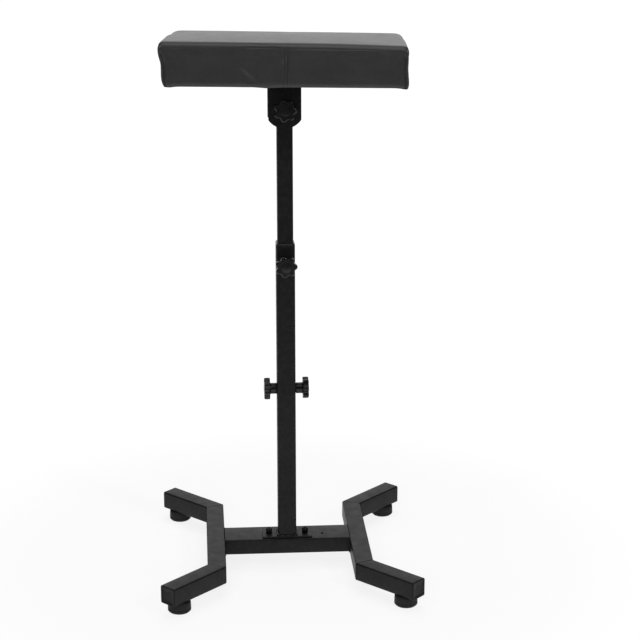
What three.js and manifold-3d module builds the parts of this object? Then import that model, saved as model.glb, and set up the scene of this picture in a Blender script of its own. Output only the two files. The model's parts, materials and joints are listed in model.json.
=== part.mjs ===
// A free-standing padded armrest: an H-shaped steel base on rubber feet, a square post bolted to it, a mast
// that slides in the post, and a pad that tilts on the mast. Sizes are in millimetres, +Z is up and the
// front faces -Y.
// The origin is on the floor, under the middle of the base.

import * as THREE from 'three';
import { mergeVertices } from 'three/addons/utils/BufferGeometryUtils.js';
import Module from 'manifold-3d';

const wasm = await Module();
wasm.setup();

// Clearances and facets shared by all pieces
const gap = 0.3;              // between pieces that touch
const overrun = 4;            // how far a cut runs past what it cuts
const roundSteps = 2;         // facets in the quarter round of a tube's edge
const boreSides = 16;
const turnedSides = 20;
const footSides = 28;

// Base: rails, legs and crossbar
const railSize = 30;
const railWall = 1.5;
const tubeRound = 2.5;
const railSpacing = 238;      // between the rails' centre lines
const railStraight = 250;     // between the two mitre points of a rail
const legLength = 112;        // from the mitre point to the tip
const legTurn = Math.PI / 4;  // how far a leg turns away from its rail
const barDepth = 56;
const barHeight = 26;
const barWall = 1.5;
const barSpareHoleRadius = 2.5;
const barSpareHoleReach = 59; // from the middle of the crossbar

// End caps of the legs
const capFlange = 2;
const capSpigotLength = 10;

// Rubber feet, their screws and nuts
const footRadius = 18.5;
const footHeight = 18;
const footChamfer = 2.5;
const footTaper = 0.6;
const footInset = 26;         // from the leg's tip to the foot's axis
const footPocketRadius = 7;
const footPocketDepth = 9;
const smallBoltRadius = 3;
const footScrewHeadRadius = 5.5;
const footScrewHeadHeight = 3.4;
const smallNutAcross = 10;    // across the flats
const smallNutHeight = 5;

// Post: foot plate, outer tube and its screws
const postForward = 7;        // the post's axis lies in front of the crossbar's middle
const plateWidth = 82;
const plateDepth = 34;
const plateThickness = 3;
const plateRound = 3;
const postScrewSpacing = 60;
const postScrewHeadRadius = 5;
const postScrewHeadHeight = 6;
const postScrewHeadChamfer = 0.75;
const postScrewSocketAcross = 5;
const postScrewSocketDepth = 3.2;
const postWasherRadius = 5.2;
const postWasherThickness = 2;
const postSize = 30;
const postWall = 1.2;
const postLength = 497.5;

// Guide bush in the post's mouth, which leaves a mast of 25 mm
const bushWall = 0.7;
const bushFlange = 3;
const bushBevel = 1.9;
const bushSleeve = 20;

// Clamp bosses on the post, and the star knobs with their studs
const frontClampDrop = 30.5;  // below the post's top
const sideClampDrop = 243;
const rightClampBackedOff = 0.5;
const bossRadius = 7.5;
const bossFlange = 0.6;
const bossBarrelRadius = 5.6;
const bossBarrelDepth = 1.8;
const largeBoltRadius = 4;
const knobRadius = 18;
const knobLobes = 7;
const knobLobeDepth = 3.7;
const knobLobeSteps = 6;
const knobTurn = 0.04;        // radians that the first lobe is turned by
const knobHeadThickness = 8.2;
const knobBevel = 1.4;
const knobBevelSteps = 2;
const knobHubRadius = 8.6;
const knobHubLength = 11.6;
const knobBoreDepth = 13;
const knobFaceRadius = 7.5;
const knobFaceRise = 1.3;

// The knob's domed face, as shares of its radius and of its rise
const knobFaceShares = [[0.82, 0.55], [0.5, 0.88], [0, 1]];

// Mast: the inner tube with its guide plug and cap
const mastWall = 1.5;
const mastLength = 530;
const mastAbovePivot = 11;
const pivotRise = 219.6;      // above the post's top, as it stands
const guideFlange = 4;
const guideSpigotLength = 14;
const topCapFlange = 2;
const topCapSpigotLength = 5;

// Tilt bracket and pivot
const bracketWidth = 51.5;
const bracketThickness = 2.5;
const bracketBend = 4;
const earRadius = 31;
const earSteps = 10;
const frictionWasherRadius = 10;
const frictionWasherThickness = 1;
const pivotWasherRadius = 8.5;
const pivotWasherThickness = 1.6;
const pivotHeadAcross = 13;
const pivotHeadHeight = 5.3;
const pivotReachInKnob = 12;

// Mounting plate and its screws
const mountWidth = 120;
const mountDepth = 80;
const mountThickness = 3;
const mountRound = 6;
const mountScrewSpacingX = 96;
const mountScrewSpacingY = 56;
const woodScrewRadius = 2.2;
const woodScrewLength = 9;
const woodScrewHeadRadius = 4.4;
const woodScrewHeadHeight = 2.6;

// Pad: board, foam and cover
const padLength = 381;
const padDepth = 152;
const padHeight = 66;
const padAbovePivot = 43;     // the cover's underside
const padTurn = -6.5 * Math.PI / 180;
const padShift = 4.5;
const padCornerRound = 10;
const padTopRound = 7;
const padBottomRound = 4;
const padSideDraw = 2.5;      // the sides are drawn in below the top edge
const padPull = 2;            // and between the corners
const padCrown = 3;
const padSeamDepth = 1.2;     // the stitched seam down the middle of the front
const coverThickness = 1.2;
const coverOpeningLength = 306;
const coverOpeningDepth = 100;
const boardThickness = 10;
const boardRound = 8;

// Facets of the pad's corners, long sides, short sides and rounded edges
const coverCounts = { corner: 3, long: 12, short: 6, edge: 3 };
const innerCounts = { corner: 2, long: 8, short: 4, edge: 2 };
// Shares of the pad's height where its sides are drawn in most
const sideLevelShares = [0.3, 0.55, 0.75];
const sideDrawShares = [1, 0.9, 0.5];
// Shares of the way from the pad's middle to its edge, for the rings of its crowned top
const crownRingShares = [0.92, 0.76, 0.54, 0.28];

// Levels and places that follow from the sizes above
const railFloor = footHeight + gap;
const baseTop = railFloor + railSize;
const plateLevel = baseTop + gap;
const postFoot = plateLevel + plateThickness + gap;
const postTop = postFoot + postLength;
const mastSize = postSize - 2 * (postWall + gap + bushWall + gap);
const pivotHeight = postTop + pivotRise;
const clampFace = postSize / 2 + gap + bossFlange + gap;
const earInside = mastSize / 2 + gap + frictionWasherThickness + gap;
const earOutside = earInside + bracketThickness;
const pivotSeat = earOutside + gap + pivotWasherThickness + gap;
const mountTop = padAbovePivot + coverThickness;
const bracketTop = mountTop - mountThickness - gap;
const boardInset = padSideDraw + padPull + padSeamDepth + padBottomRound + coverThickness + gap;

// Finishes
function powderCoat() {
  return new THREE.MeshStandardMaterial({ color: 0x1c1c1d, roughness: 0.48, metalness: 0.25 });
}

function blackPlastic() {
  return new THREE.MeshStandardMaterial({ color: 0x17171a, roughness: 0.4, metalness: 0 });
}

function blackRubber() {
  return new THREE.MeshStandardMaterial({ color: 0x151515, roughness: 0.75, metalness: 0 });
}

function zincSteel() {
  return new THREE.MeshStandardMaterial({ color: 0xb9bcc0, roughness: 0.35, metalness: 0.9 });
}

function blackSteel() {
  return new THREE.MeshStandardMaterial({ color: 0x101011, roughness: 0.4, metalness: 0.6 });
}

function leatherette() {
  return new THREE.MeshStandardMaterial({ color: 0x2b2b2d, roughness: 0.5, metalness: 0 });
}

function foam() {
  return new THREE.MeshStandardMaterial({ color: 0xd9c98c, roughness: 0.95, metalness: 0 });
}

function plywood() {
  return new THREE.MeshStandardMaterial({ color: 0xb98d5a, roughness: 0.8, metalness: 0 });
}

// Solids: joining and cutting
function solidOf(geometry) {
  const plain = geometry.clone();
  plain.deleteAttribute('normal');
  plain.deleteAttribute('uv');
  const merged = mergeVertices(plain);
  const vertProperties = new Float32Array(merged.attributes.position.array);
  const triVerts = new Uint32Array(merged.index.array);
  return new wasm.Manifold(new wasm.Mesh({ numProp: 3, vertProperties, triVerts }));
}

function geometryOf(solid) {
  const mesh = solid.getMesh();
  const geometry = new THREE.BufferGeometry();
  geometry.setAttribute('position', new THREE.BufferAttribute(mesh.vertProperties, 3));
  geometry.setIndex(new THREE.BufferAttribute(mesh.triVerts, 1));
  geometry.computeVertexNormals();
  return geometry;
}

function cut(body, ...tools) {
  let solid = solidOf(body);
  for (const tool of tools) {
    solid = solid.subtract(solidOf(tool));
  }
  return geometryOf(solid);
}

function join(body, ...others) {
  let solid = solidOf(body);
  for (const other of others) {
    solid = solid.add(solidOf(other));
  }
  return geometryOf(solid);
}

function common(body, other) {
  return geometryOf(solidOf(body).intersect(solidOf(other)));
}

// Plain shapes, all standing on z = 0 about the Z axis
function block(width, depth, height) {
  return new THREE.BoxGeometry(width, depth, height).translate(0, 0, height / 2);
}

function shaft(radius, length, sides = boreSides) {
  return new THREE.CylinderGeometry(radius, radius, length, sides)
    .rotateX(Math.PI / 2)
    .translate(0, 0, length / 2);
}

function hexagon(across, height) {
  const sides = 6;
  return shaft(across / 2 / Math.cos(Math.PI / sides), height, sides);
}

function turned(profile, sides = turnedSides) {
  const points = profile.map(([radius, level]) => new THREE.Vector2(radius, level));
  return new THREE.LatheGeometry(points, sides).rotateX(Math.PI / 2);
}

function washer(outer, inner, thickness) {
  return turned([[inner, 0], [outer, 0], [outer, thickness], [inner, thickness], [inner, 0]]);
}

function nut(across, bore, height) {
  return cut(hexagon(across, height), shaft(bore, height + 2 * overrun).translate(0, 0, -overrun));
}

function extruded(outline, height, curveSegments = roundSteps) {
  return new THREE.ExtrudeGeometry(outline, { depth: height, bevelEnabled: false, curveSegments });
}

function roundedOutline(path, width, depth, round) {
  const x = width / 2 - round;
  const y = depth / 2 - round;
  path.absarc(x, -y, round, -Math.PI / 2, 0, false);
  path.absarc(x, y, round, 0, Math.PI / 2, false);
  path.absarc(-x, y, round, Math.PI / 2, Math.PI, false);
  path.absarc(-x, -y, round, Math.PI, 1.5 * Math.PI, false);
  path.closePath();
  return path;
}

function roundedBlock(width, depth, height, round) {
  return extruded(roundedOutline(new THREE.Shape(), width, depth, round), height);
}

function tube(width, depth, wall, round, length) {
  const outline = roundedOutline(new THREE.Shape(), width, depth, round);
  const insideRound = round - wall / 2;
  outline.holes.push(roundedOutline(new THREE.Path(), width - 2 * wall, depth - 2 * wall, insideRound));
  return extruded(outline, length);
}

// The shaft that a hole is cut with, along X, Y or Z, its middle at the point given
function drill(radius, length, axis, x, y, z) {
  const core = shaft(radius, length).translate(0, 0, -length / 2);
  if (axis === 'x') {
    core.rotateY(Math.PI / 2);
  } else if (axis === 'y') {
    core.rotateX(Math.PI / 2);
  }
  return core.translate(x, y, z);
}

// A named piece in its group
function add(group, name, geometry, material) {
  const mesh = new THREE.Mesh(geometry, material);
  mesh.name = name;
  group.add(mesh);
  return mesh;
}

function groupAt(parent, x, y, z) {
  const group = new THREE.Group();
  group.position.set(x, y, z);
  parent.add(group);
  return group;
}

// Base
// A tube lies along X on its own centre line. A mitre takes away everything past a plane through a point of
// that line, whose normal is turned from +X, and leaves half the seam on its own side.
function mitre(x, turn) {
  const size = 4 * railSize;
  return new THREE.BoxGeometry(size, size, size)
    .translate(size / 2 - gap / 2, 0, 0)
    .rotateZ(turn)
    .translate(x, 0, 0);
}

function lyingTube(width, height, wall, length) {
  return tube(height, width, wall, tubeRound, length)
    .rotateY(Math.PI / 2)
    .translate(-length / 2, 0, 0);
}

function railGeometry() {
  const half = railStraight / 2;
  const blank = lyingTube(railSize, railSize, railWall, railStraight + 2 * railSize);
  return cut(blank, mitre(half, -legTurn / 2), mitre(-half, Math.PI + legTurn / 2));
}

function legGeometry(side) {
  const tubeLength = legLength - capFlange - gap + railSize;
  const blank = lyingTube(railSize, railSize, railWall, tubeLength);
  blank.translate(tubeLength / 2 - railSize, 0, 0);
  const footHole = shaft(smallBoltRadius + gap, railSize).translate(legLength - footInset, 0, -railSize);
  return cut(blank, mitre(0, Math.PI + side * legTurn / 2), footHole);
}

function endCapGeometry() {
  const spigot = railSize - 2 * railWall - 2 * gap;
  const flange = roundedBlock(railSize, railSize, capFlange, tubeRound);
  const plug = roundedBlock(spigot, spigot, capSpigotLength + capFlange, tubeRound - railWall / 2);
  return join(flange, plug.translate(0, 0, -capSpigotLength)).rotateY(Math.PI / 2);
}

function footGeometry() {
  const bore = smallBoltRadius + gap;
  const top = footRadius - footTaper;
  return turned([
    [footPocketRadius, 0],
    [footRadius - footChamfer, 0],
    [footRadius, footChamfer],
    [footRadius, footHeight / 2],
    [top, footHeight],
    [bore, footHeight],
    [bore, footPocketDepth],
    [footPocketRadius, footPocketDepth],
    [footPocketRadius, 0],
  ], footSides);
}

function footScrewGeometry() {
  const shank = footHeight - footPocketDepth + gap + railWall + gap + smallNutHeight + gap;
  const rim = footScrewHeadHeight / 2;
  return turned([
    [0, -footScrewHeadHeight - gap],
    [footScrewHeadRadius - rim, -footScrewHeadHeight - gap],
    [footScrewHeadRadius, -rim - gap],
    [footScrewHeadRadius, -gap],
    [smallBoltRadius, -gap],
    [smallBoltRadius, shank],
    [0, shank],
  ]);
}

function addLeg(base, name, x, y, turn, side) {
  const leg = groupAt(base, x, y, railFloor + railSize / 2);
  leg.rotation.z = turn;
  add(leg, `${name}_leg`, legGeometry(side), powderCoat());
  const cap = add(leg, `${name}_end_cap`, endCapGeometry(), blackPlastic());
  cap.position.x = legLength - capFlange;
  const foot = groupAt(leg, legLength - footInset, 0, -railSize / 2 - railFloor);
  add(foot, `${name}_foot`, footGeometry(), blackRubber());
  const screw = add(foot, `${name}_foot_screw`, footScrewGeometry(), zincSteel());
  screw.position.z = footPocketDepth;
  const nutShape = nut(smallNutAcross, smallBoltRadius + gap, smallNutHeight);
  const nutPiece = add(foot, `${name}_foot_nut`, nutShape, zincSteel());
  nutPiece.position.z = railFloor + railWall + gap;
}

function crossbarGeometry() {
  const length = railSpacing - railSize - 2 * gap;
  const holeLevel = barHeight / 2;
  const screwHoles = [-1, 1].map((side) => (
    drill(smallBoltRadius + gap, barHeight, 'z', side * postScrewSpacing / 2, -postForward, holeLevel)
  ));
  const spareHole = drill(barSpareHoleRadius, barHeight, 'z', barSpareHoleReach, -postForward, holeLevel);
  return cut(lyingTube(barDepth, barHeight, barWall, length), ...screwHoles, spareHole);
}

function addBase(root) {
  const base = groupAt(root, 0, 0, 0);
  const crossbar = add(base, 'crossbar', crossbarGeometry(), powderCoat());
  crossbar.position.z = baseTop - barHeight / 2;
  for (const [name, side] of [['left', -1], ['right', 1]]) {
    const rail = add(base, `${name}_rail`, railGeometry(), powderCoat());
    rail.position.set(side * railSpacing / 2, 0, railFloor + railSize / 2);
    rail.rotation.z = side * Math.PI / 2;
    const x = side * railSpacing / 2;
    const y = railStraight / 2;
    addLeg(base, `rear_${name}`, x, y, Math.PI / 2 - side * legTurn, side);
    addLeg(base, `front_${name}`, x, -y, -Math.PI / 2 + side * legTurn, -side);
  }
}

// Post
function footPlateGeometry() {
  const plate = roundedBlock(plateWidth, plateDepth, plateThickness, plateRound);
  const holes = [-1, 1].map((side) => (
    drill(smallBoltRadius + gap, plateThickness + 2 * overrun, 'z', side * postScrewSpacing / 2, 0, 0)
  ));
  return cut(plate, ...holes);
}

function postScrewGeometry() {
  const shank = postWasherThickness + plateThickness + barWall + smallNutHeight + 5 * gap;
  const body = turned([
    [0, -shank],
    [smallBoltRadius, -shank],
    [smallBoltRadius, 0],
    [postScrewHeadRadius, 0],
    [postScrewHeadRadius, postScrewHeadHeight - postScrewHeadChamfer],
    [postScrewHeadRadius - postScrewHeadChamfer, postScrewHeadHeight],
    [0, postScrewHeadHeight],
  ]);
  const socket = hexagon(postScrewSocketAcross, postScrewSocketDepth + overrun);
  return cut(body, socket.translate(0, 0, postScrewHeadHeight - postScrewSocketDepth));
}

function postGeometry() {
  const bore = bossBarrelRadius + gap;
  const frontHole = drill(bore, postSize / 2, 'y', 0, -postSize / 2, postLength - frontClampDrop);
  const sideHole = drill(bore, postSize + 2 * overrun, 'x', 0, 0, postLength - sideClampDrop);
  return cut(tube(postSize, postSize, postWall, tubeRound, postLength), frontHole, sideHole);
}

function guideBushGeometry() {
  const inside = mastSize + 2 * gap;
  const outside = inside + 2 * bushWall;
  const flange = bevelledPlate(postSize, bushFlange, bushBevel);
  const sleeve = roundedBlock(outside, outside, bushSleeve + bushFlange / 2, tubeRound - postWall / 2);
  const body = join(flange, sleeve.translate(0, 0, -bushSleeve));
  const height = bushSleeve + bushFlange + 2 * overrun;
  return cut(body, roundedBlock(inside, inside, height, tubeRound).translate(0, 0, -bushSleeve - overrun));
}

// A square plate whose upper edges are bevelled
function bevelledPlate(size, thickness, bevel) {
  const outline = roundedOutline(new THREE.Shape(), size, size, tubeRound);
  const settings = {
    depth: thickness - bevel,
    bevelThickness: bevel,
    bevelSize: bevel,
    bevelOffset: -bevel,
    bevelSegments: 1,
    curveSegments: roundSteps,
  };
  const bothBevelled = new THREE.ExtrudeGeometry(outline, settings);
  const upper = common(bothBevelled, block(2 * size, 2 * size, 2 * thickness));
  return join(extruded(outline, thickness - bevel), upper);
}

function bossGeometry() {
  const bore = largeBoltRadius + gap;
  return turned([
    [bore, -bossBarrelDepth],
    [bossBarrelRadius, -bossBarrelDepth],
    [bossBarrelRadius, 0],
    [bossRadius, 0],
    [bossRadius, bossFlange],
    [bore, bossFlange],
    [bore, -bossBarrelDepth],
  ]);
}

function starOutline() {
  const steps = knobLobes * knobLobeSteps;
  const middle = knobRadius - knobLobeDepth / 2;
  const points = [];
  for (let step = 0; step < steps; step += 1) {
    const angle = 2 * Math.PI * step / steps;
    const radius = middle + knobLobeDepth / 2 * Math.cos(knobLobes * angle);
    points.push(new THREE.Vector2(radius * Math.cos(angle + knobTurn), radius * Math.sin(angle + knobTurn)));
  }
  return new THREE.Shape(points);
}

// A star knob stands on its hub's face, its outer face up
function knobGeometry() {
  const head = new THREE.ExtrudeGeometry(starOutline(), {
    depth: knobHeadThickness - 2 * knobBevel,
    bevelThickness: knobBevel,
    bevelSize: knobBevel,
    bevelOffset: -knobBevel,
    bevelSegments: knobBevelSteps,
  }).translate(0, 0, knobHubLength + knobBevel);
  const top = knobHubLength + knobHeadThickness;
  const hub = turned([[0, 0], [knobHubRadius, 0], [knobHubRadius, top - knobBevel], [0, top - knobBevel]]);
  const face = turned([
    [0, top - knobBevel],
    [knobFaceRadius, top - knobBevel],
    [knobFaceRadius, top],
    ...knobFaceShares.map(([across, up]) => [knobFaceRadius * across, top + knobFaceRise * up]),
  ]);
  const bore = shaft(largeBoltRadius + gap, knobBoreDepth + overrun).translate(0, 0, -overrun);
  return cut(join(head, hub, face), bore);
}

// A clamp is a boss in the post's wall, and a knob whose stud presses on the mast. Its group looks outward
// along +Z.
function addClamp(post, name, backedOff) {
  const clamp = groupAt(post, 0, 0, 0);
  const boss = add(clamp, `${name}_clamp_boss`, bossGeometry(), blackSteel());
  boss.position.z = postSize / 2 + gap;
  const knob = add(clamp, `${name}_clamp_knob`, knobGeometry(), blackPlastic());
  knob.position.z = clampFace + backedOff;
  const tip = mastSize / 2 + gap + backedOff;
  const reach = clampFace + backedOff + knobBoreDepth - gap;
  const stud = add(clamp, `${name}_clamp_stud`, shaft(largeBoltRadius, reach - tip), zincSteel());
  stud.position.z = tip;
  return clamp;
}

function addPost(root) {
  const post = groupAt(root, 0, -postForward, 0);
  add(post, 'post_foot_plate', footPlateGeometry(), powderCoat()).position.z = plateLevel;
  add(post, 'post_tube', postGeometry(), powderCoat()).position.z = postFoot;
  add(post, 'guide_bush', guideBushGeometry(), blackPlastic()).position.z = postTop + gap;
  for (const [name, side] of [['left', -1], ['right', 1]]) {
    const screw = groupAt(post, side * postScrewSpacing / 2, 0, plateLevel + plateThickness + gap);
    const hole = smallBoltRadius + gap;
    add(screw, `${name}_post_washer`, washer(postWasherRadius, hole, postWasherThickness), blackSteel());
    const screwPiece = add(screw, `${name}_post_screw`, postScrewGeometry(), blackSteel());
    screwPiece.position.z = postWasherThickness + gap;
    const nutPiece = add(screw, `${name}_post_nut`, nut(smallNutAcross, hole, smallNutHeight), zincSteel());
    nutPiece.position.z = baseTop - barWall - gap - smallNutHeight - screw.position.z;
  }
  const front = addClamp(post, 'front', 0);
  front.position.z = postTop - frontClampDrop;
  front.rotation.x = Math.PI / 2;
  const left = addClamp(post, 'left', 0);
  left.position.z = postTop - sideClampDrop;
  left.rotation.y = -Math.PI / 2;
  const right = addClamp(post, 'right', rightClampBackedOff);
  right.position.z = postTop - sideClampDrop;
  right.rotation.y = Math.PI / 2;
}

// Mast
function mastGeometry() {
  const blank = tube(mastSize, mastSize, mastWall, tubeRound, mastLength);
  blank.translate(0, 0, mastAbovePivot - mastLength);
  return cut(blank, drill(largeBoltRadius + gap, mastSize + 2 * overrun, 'y', 0, 0, 0));
}

// A plug stands on its flange's outer face, with its spigot up
function plugGeometry(size, flange, spigotLength) {
  const spigot = mastSize - 2 * mastWall - 2 * gap;
  const insideRound = tubeRound - mastWall / 2;
  const head = roundedBlock(size, size, flange, tubeRound);
  return join(head, roundedBlock(spigot, spigot, flange + spigotLength, insideRound));
}

function addMast(root) {
  const mast = groupAt(root, 0, -postForward, pivotHeight);
  add(mast, 'mast_tube', mastGeometry(), powderCoat());
  const guideSize = postSize - 2 * postWall - 2 * gap;
  const guideShape = plugGeometry(guideSize, guideFlange, guideSpigotLength);
  const guide = add(mast, 'mast_guide_plug', guideShape, blackPlastic());
  guide.position.z = mastAbovePivot - mastLength - gap - guideFlange;
  const capShape = plugGeometry(mastSize, topCapFlange, topCapSpigotLength);
  const cap = add(mast, 'mast_top_cap', capShape, blackPlastic());
  cap.rotation.x = Math.PI;
  cap.position.z = mastAbovePivot + gap + topCapFlange;
}

// Head
function bracketProfile() {
  const inside = bracketBend - bracketThickness;
  const x = earOutside - bracketBend;
  const y = bracketTop - bracketBend;
  const floor = -earRadius - overrun;
  const shape = new THREE.Shape();
  shape.absarc(x, y, bracketBend, 0, Math.PI / 2, false);
  shape.absarc(-x, y, bracketBend, Math.PI / 2, Math.PI, false);
  shape.lineTo(-earOutside, floor);
  shape.lineTo(-earInside, floor);
  shape.absarc(-x, y, inside, Math.PI, Math.PI / 2, true);
  shape.absarc(x, y, inside, Math.PI / 2, 0, true);
  shape.lineTo(earInside, floor);
  shape.lineTo(earOutside, floor);
  shape.closePath();
  return shape;
}

function earOutline() {
  const half = bracketWidth / 2;
  const side = Math.acos(half / earRadius);
  const shape = new THREE.Shape();
  shape.absarc(0, 0, earRadius, Math.PI + side, 2 * Math.PI - side, false);
  shape.lineTo(half, bracketTop + overrun);
  shape.lineTo(-half, bracketTop + overrun);
  shape.closePath();
  return shape;
}

function bracketGeometry() {
  const reach = 2 * (earOutside + overrun);
  const bent = extruded(bracketProfile(), bracketWidth + 2 * overrun)
    .translate(0, 0, -bracketWidth / 2 - overrun)
    .rotateX(Math.PI / 2)
    .rotateZ(Math.PI / 2);
  const ears = extruded(earOutline(), reach, earSteps)
    .rotateX(Math.PI / 2)
    .translate(0, reach / 2, 0);
  return cut(common(bent, ears), drill(largeBoltRadius + gap, reach, 'y', 0, 0, 0));
}

// The pivot bolt's head is behind, and its end is in the knob in front
function pivotBoltGeometry() {
  const length = 2 * pivotSeat + pivotReachInKnob;
  const shank = shaft(largeBoltRadius, length + pivotHeadHeight / 2).translate(0, 0, -length);
  return join(hexagon(pivotHeadAcross, pivotHeadHeight), shank).rotateX(-Math.PI / 2);
}

function mountPlateGeometry() {
  const plate = roundedBlock(mountWidth, mountDepth, mountThickness, mountRound);
  const holes = mountScrewPlaces().map(([x, y]) => (
    drill(woodScrewRadius + gap, mountThickness + 2 * overrun, 'z', x, y, 0)
  ));
  return cut(plate, ...holes);
}

function mountScrewPlaces() {
  const x = mountScrewSpacingX / 2;
  const y = mountScrewSpacingY / 2;
  return [[-x, -y], [x, -y], [-x, y], [x, y]];
}

function woodScrewGeometry() {
  const length = mountThickness + gap + woodScrewLength;
  return turned([
    [0, -woodScrewHeadHeight],
    [woodScrewHeadRadius / 2, -woodScrewHeadHeight],
    [woodScrewHeadRadius, -woodScrewHeadHeight / 2],
    [woodScrewHeadRadius, 0],
    [woodScrewRadius, 0],
    [woodScrewRadius, length - woodScrewRadius],
    [0, length],
  ]);
}

function boardGeometry() {
  const length = padLength - 2 * boardInset;
  const board = roundedBlock(length, padDepth - 2 * boardInset, boardThickness, boardRound);
  const holes = mountScrewPlaces().map(([x, y]) => (
    drill(woodScrewRadius + gap, 2 * (woodScrewLength + gap), 'z', x, y, 0)
  ));
  return cut(board, ...holes);
}

// The pad's outline as places with their outward normals, where along is 0 at the corners and 1 at the middle
// of a side.
function padOutline(inset, counts) {
  const x = padLength / 2 - padCornerRound;
  const y = padDepth / 2 - padCornerRound;
  const round = padCornerRound - inset;
  const corners = [[x, -y], [x, y], [-x, y], [-x, -y]];
  const places = [];
  corners.forEach(([cornerX, cornerY], index) => {
    const start = (index - 1) * Math.PI / 2;
    for (let step = 0; step <= counts.corner; step += 1) {
      const angle = start + step / counts.corner * Math.PI / 2;
      const normal = new THREE.Vector2(Math.cos(angle), Math.sin(angle));
      const at = new THREE.Vector2(cornerX, cornerY).addScaledVector(normal, round);
      places.push({ at, normal, along: 0 });
    }
    const last = places[places.length - 1];
    const [nextX, nextY] = corners[(index + 1) % corners.length];
    const next = new THREE.Vector2(nextX, nextY).addScaledVector(last.normal, round);
    const steps = index % 2 === 0 ? counts.short : counts.long;
    for (let step = 1; step < steps; step += 1) {
      const share = step / steps;
      const at = last.at.clone().lerp(next, share);
      places.push({ at, normal: last.normal, along: 4 * share * (1 - share) });
    }
  });
  return places;
}

// The pad's side, from the underside up, as pairs of how far in and how high
function padSide(inset, counts) {
  const side = [];
  const bottom = padBottomRound;
  const top = padTopRound;
  const edge = padHeight - padCrown - inset;
  for (let step = 0; step <= counts.edge; step += 1) {
    const angle = step / counts.edge * Math.PI / 2;
    side.push([padSideDraw + bottom - bottom * Math.sin(angle), inset + bottom - bottom * Math.cos(angle)]);
  }
  sideLevelShares.forEach((share, index) => {
    side.push([padSideDraw * sideDrawShares[index], inset + (edge - inset) * share]);
  });
  for (let step = 0; step <= counts.edge; step += 1) {
    const angle = step / counts.edge * Math.PI / 2;
    side.push([top - top * Math.cos(angle), edge - top + top * Math.sin(angle)]);
  }
  return side;
}

// The closed form of the pad: crowned on top, drawn in at the sides, with a dip at the front seam. An inset
// form fits inside it.
function padForm(inset, counts) {
  const outline = padOutline(inset, counts);
  const side = padSide(inset, counts);
  const positions = [];
  const seam = (place) => (place.normal.y < 0 && place.along === 1 ? padSeamDepth : 0);
  const ring = (inward, level, share) => {
    for (const place of outline) {
      const back = inward + padPull * place.along + seam(place);
      const point = place.at.clone().addScaledVector(place.normal, -back).multiplyScalar(share);
      positions.push(point.x, point.y, level);
    }
  };
  for (const [inward, level] of side) {
    ring(inward, level, 1);
  }
  const [lastInward, lastLevel] = side[side.length - 1];
  for (const share of crownRingShares) {
    ring(lastInward, lastLevel + padCrown * (1 - share * share), share);
  }
  const rings = side.length + crownRingShares.length;
  const bottomMiddle = positions.length / 3;
  positions.push(0, 0, inset, 0, 0, lastLevel + padCrown);
  return closedForm(positions, outline.length, rings, bottomMiddle);
}

// Faces between rings of equal count, closed by a fan at the bottom and at the top
function closedForm(positions, count, rings, bottomMiddle) {
  const faces = [];
  const topMiddle = bottomMiddle + 1;
  for (let index = 0; index < count; index += 1) {
    const next = (index + 1) % count;
    faces.push(bottomMiddle, next, index);
    for (let ring = 0; ring < rings - 1; ring += 1) {
      const low = ring * count;
      const high = low + count;
      faces.push(low + index, low + next, high + next, low + index, high + next, high + index);
    }
    const last = (rings - 1) * count;
    faces.push(last + index, last + next, topMiddle);
  }
  const geometry = new THREE.BufferGeometry();
  geometry.setAttribute('position', new THREE.Float32BufferAttribute(positions, 3));
  geometry.setIndex(faces);
  return geometry;
}

function coverGeometry() {
  const opening = block(coverOpeningLength, coverOpeningDepth, coverThickness + 2 * overrun);
  opening.translate(0, 0, -overrun);
  return cut(padForm(0, coverCounts), padForm(coverThickness, innerCounts), opening);
}

function foamGeometry() {
  const boardTop = coverThickness + gap + boardThickness;
  const below = block(2 * padLength, 2 * padDepth, boardTop + gap + overrun).translate(0, 0, -overrun);
  return cut(padForm(coverThickness + gap, innerCounts), below);
}

function addPad(head) {
  const pad = groupAt(head, padShift, 0, padAbovePivot);
  pad.rotation.z = padTurn;
  add(pad, 'pad_cover', coverGeometry(), leatherette());
  add(pad, 'pad_foam', foamGeometry(), foam());
  add(pad, 'pad_board', boardGeometry(), plywood()).position.z = coverThickness + gap;
  const mountLevel = mountTop - mountThickness - padAbovePivot;
  add(pad, 'pad_mount_plate', mountPlateGeometry(), powderCoat()).position.z = mountLevel;
  mountScrewPlaces().forEach(([x, y], index) => {
    const screw = add(pad, `pad_screw_${index + 1}`, woodScrewGeometry(), zincSteel());
    screw.position.set(x, y, mountLevel - gap);
  });
}

function addHead(root) {
  const head = groupAt(root, 0, -postForward, pivotHeight);
  add(head, 'tilt_bracket', bracketGeometry(), powderCoat());
  const bore = largeBoltRadius + gap;
  for (const [name, side] of [['front', -1], ['rear', 1]]) {
    const innerShape = washer(frictionWasherRadius, bore, frictionWasherThickness);
    const inner = add(head, `${name}_friction_washer`, innerShape, blackPlastic());
    inner.rotation.x = -side * Math.PI / 2;
    inner.position.y = side * (mastSize / 2 + gap);
    const outerShape = washer(pivotWasherRadius, bore, pivotWasherThickness);
    const outer = add(head, `${name}_pivot_washer`, outerShape, zincSteel());
    outer.rotation.x = -side * Math.PI / 2;
    outer.position.y = side * (earOutside + gap);
  }
  add(head, 'pivot_bolt', pivotBoltGeometry(), zincSteel()).position.y = pivotSeat;
  const knob = add(head, 'tilt_knob', knobGeometry(), blackPlastic());
  knob.rotation.x = Math.PI / 2;
  knob.position.y = -pivotSeat;
  addPad(head);
}

const armrest = new THREE.Group();
addBase(armrest);
addPost(armrest);
addMast(armrest);
addHead(armrest);

export default armrest;
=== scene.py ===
import collections
import json
import random
from math import acos, cos, pi, radians, sin, sqrt, tan

import bmesh
import bpy
import numpy as np
from mathutils import Matrix, Vector
from mathutils.bvhtree import BVHTree


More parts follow.
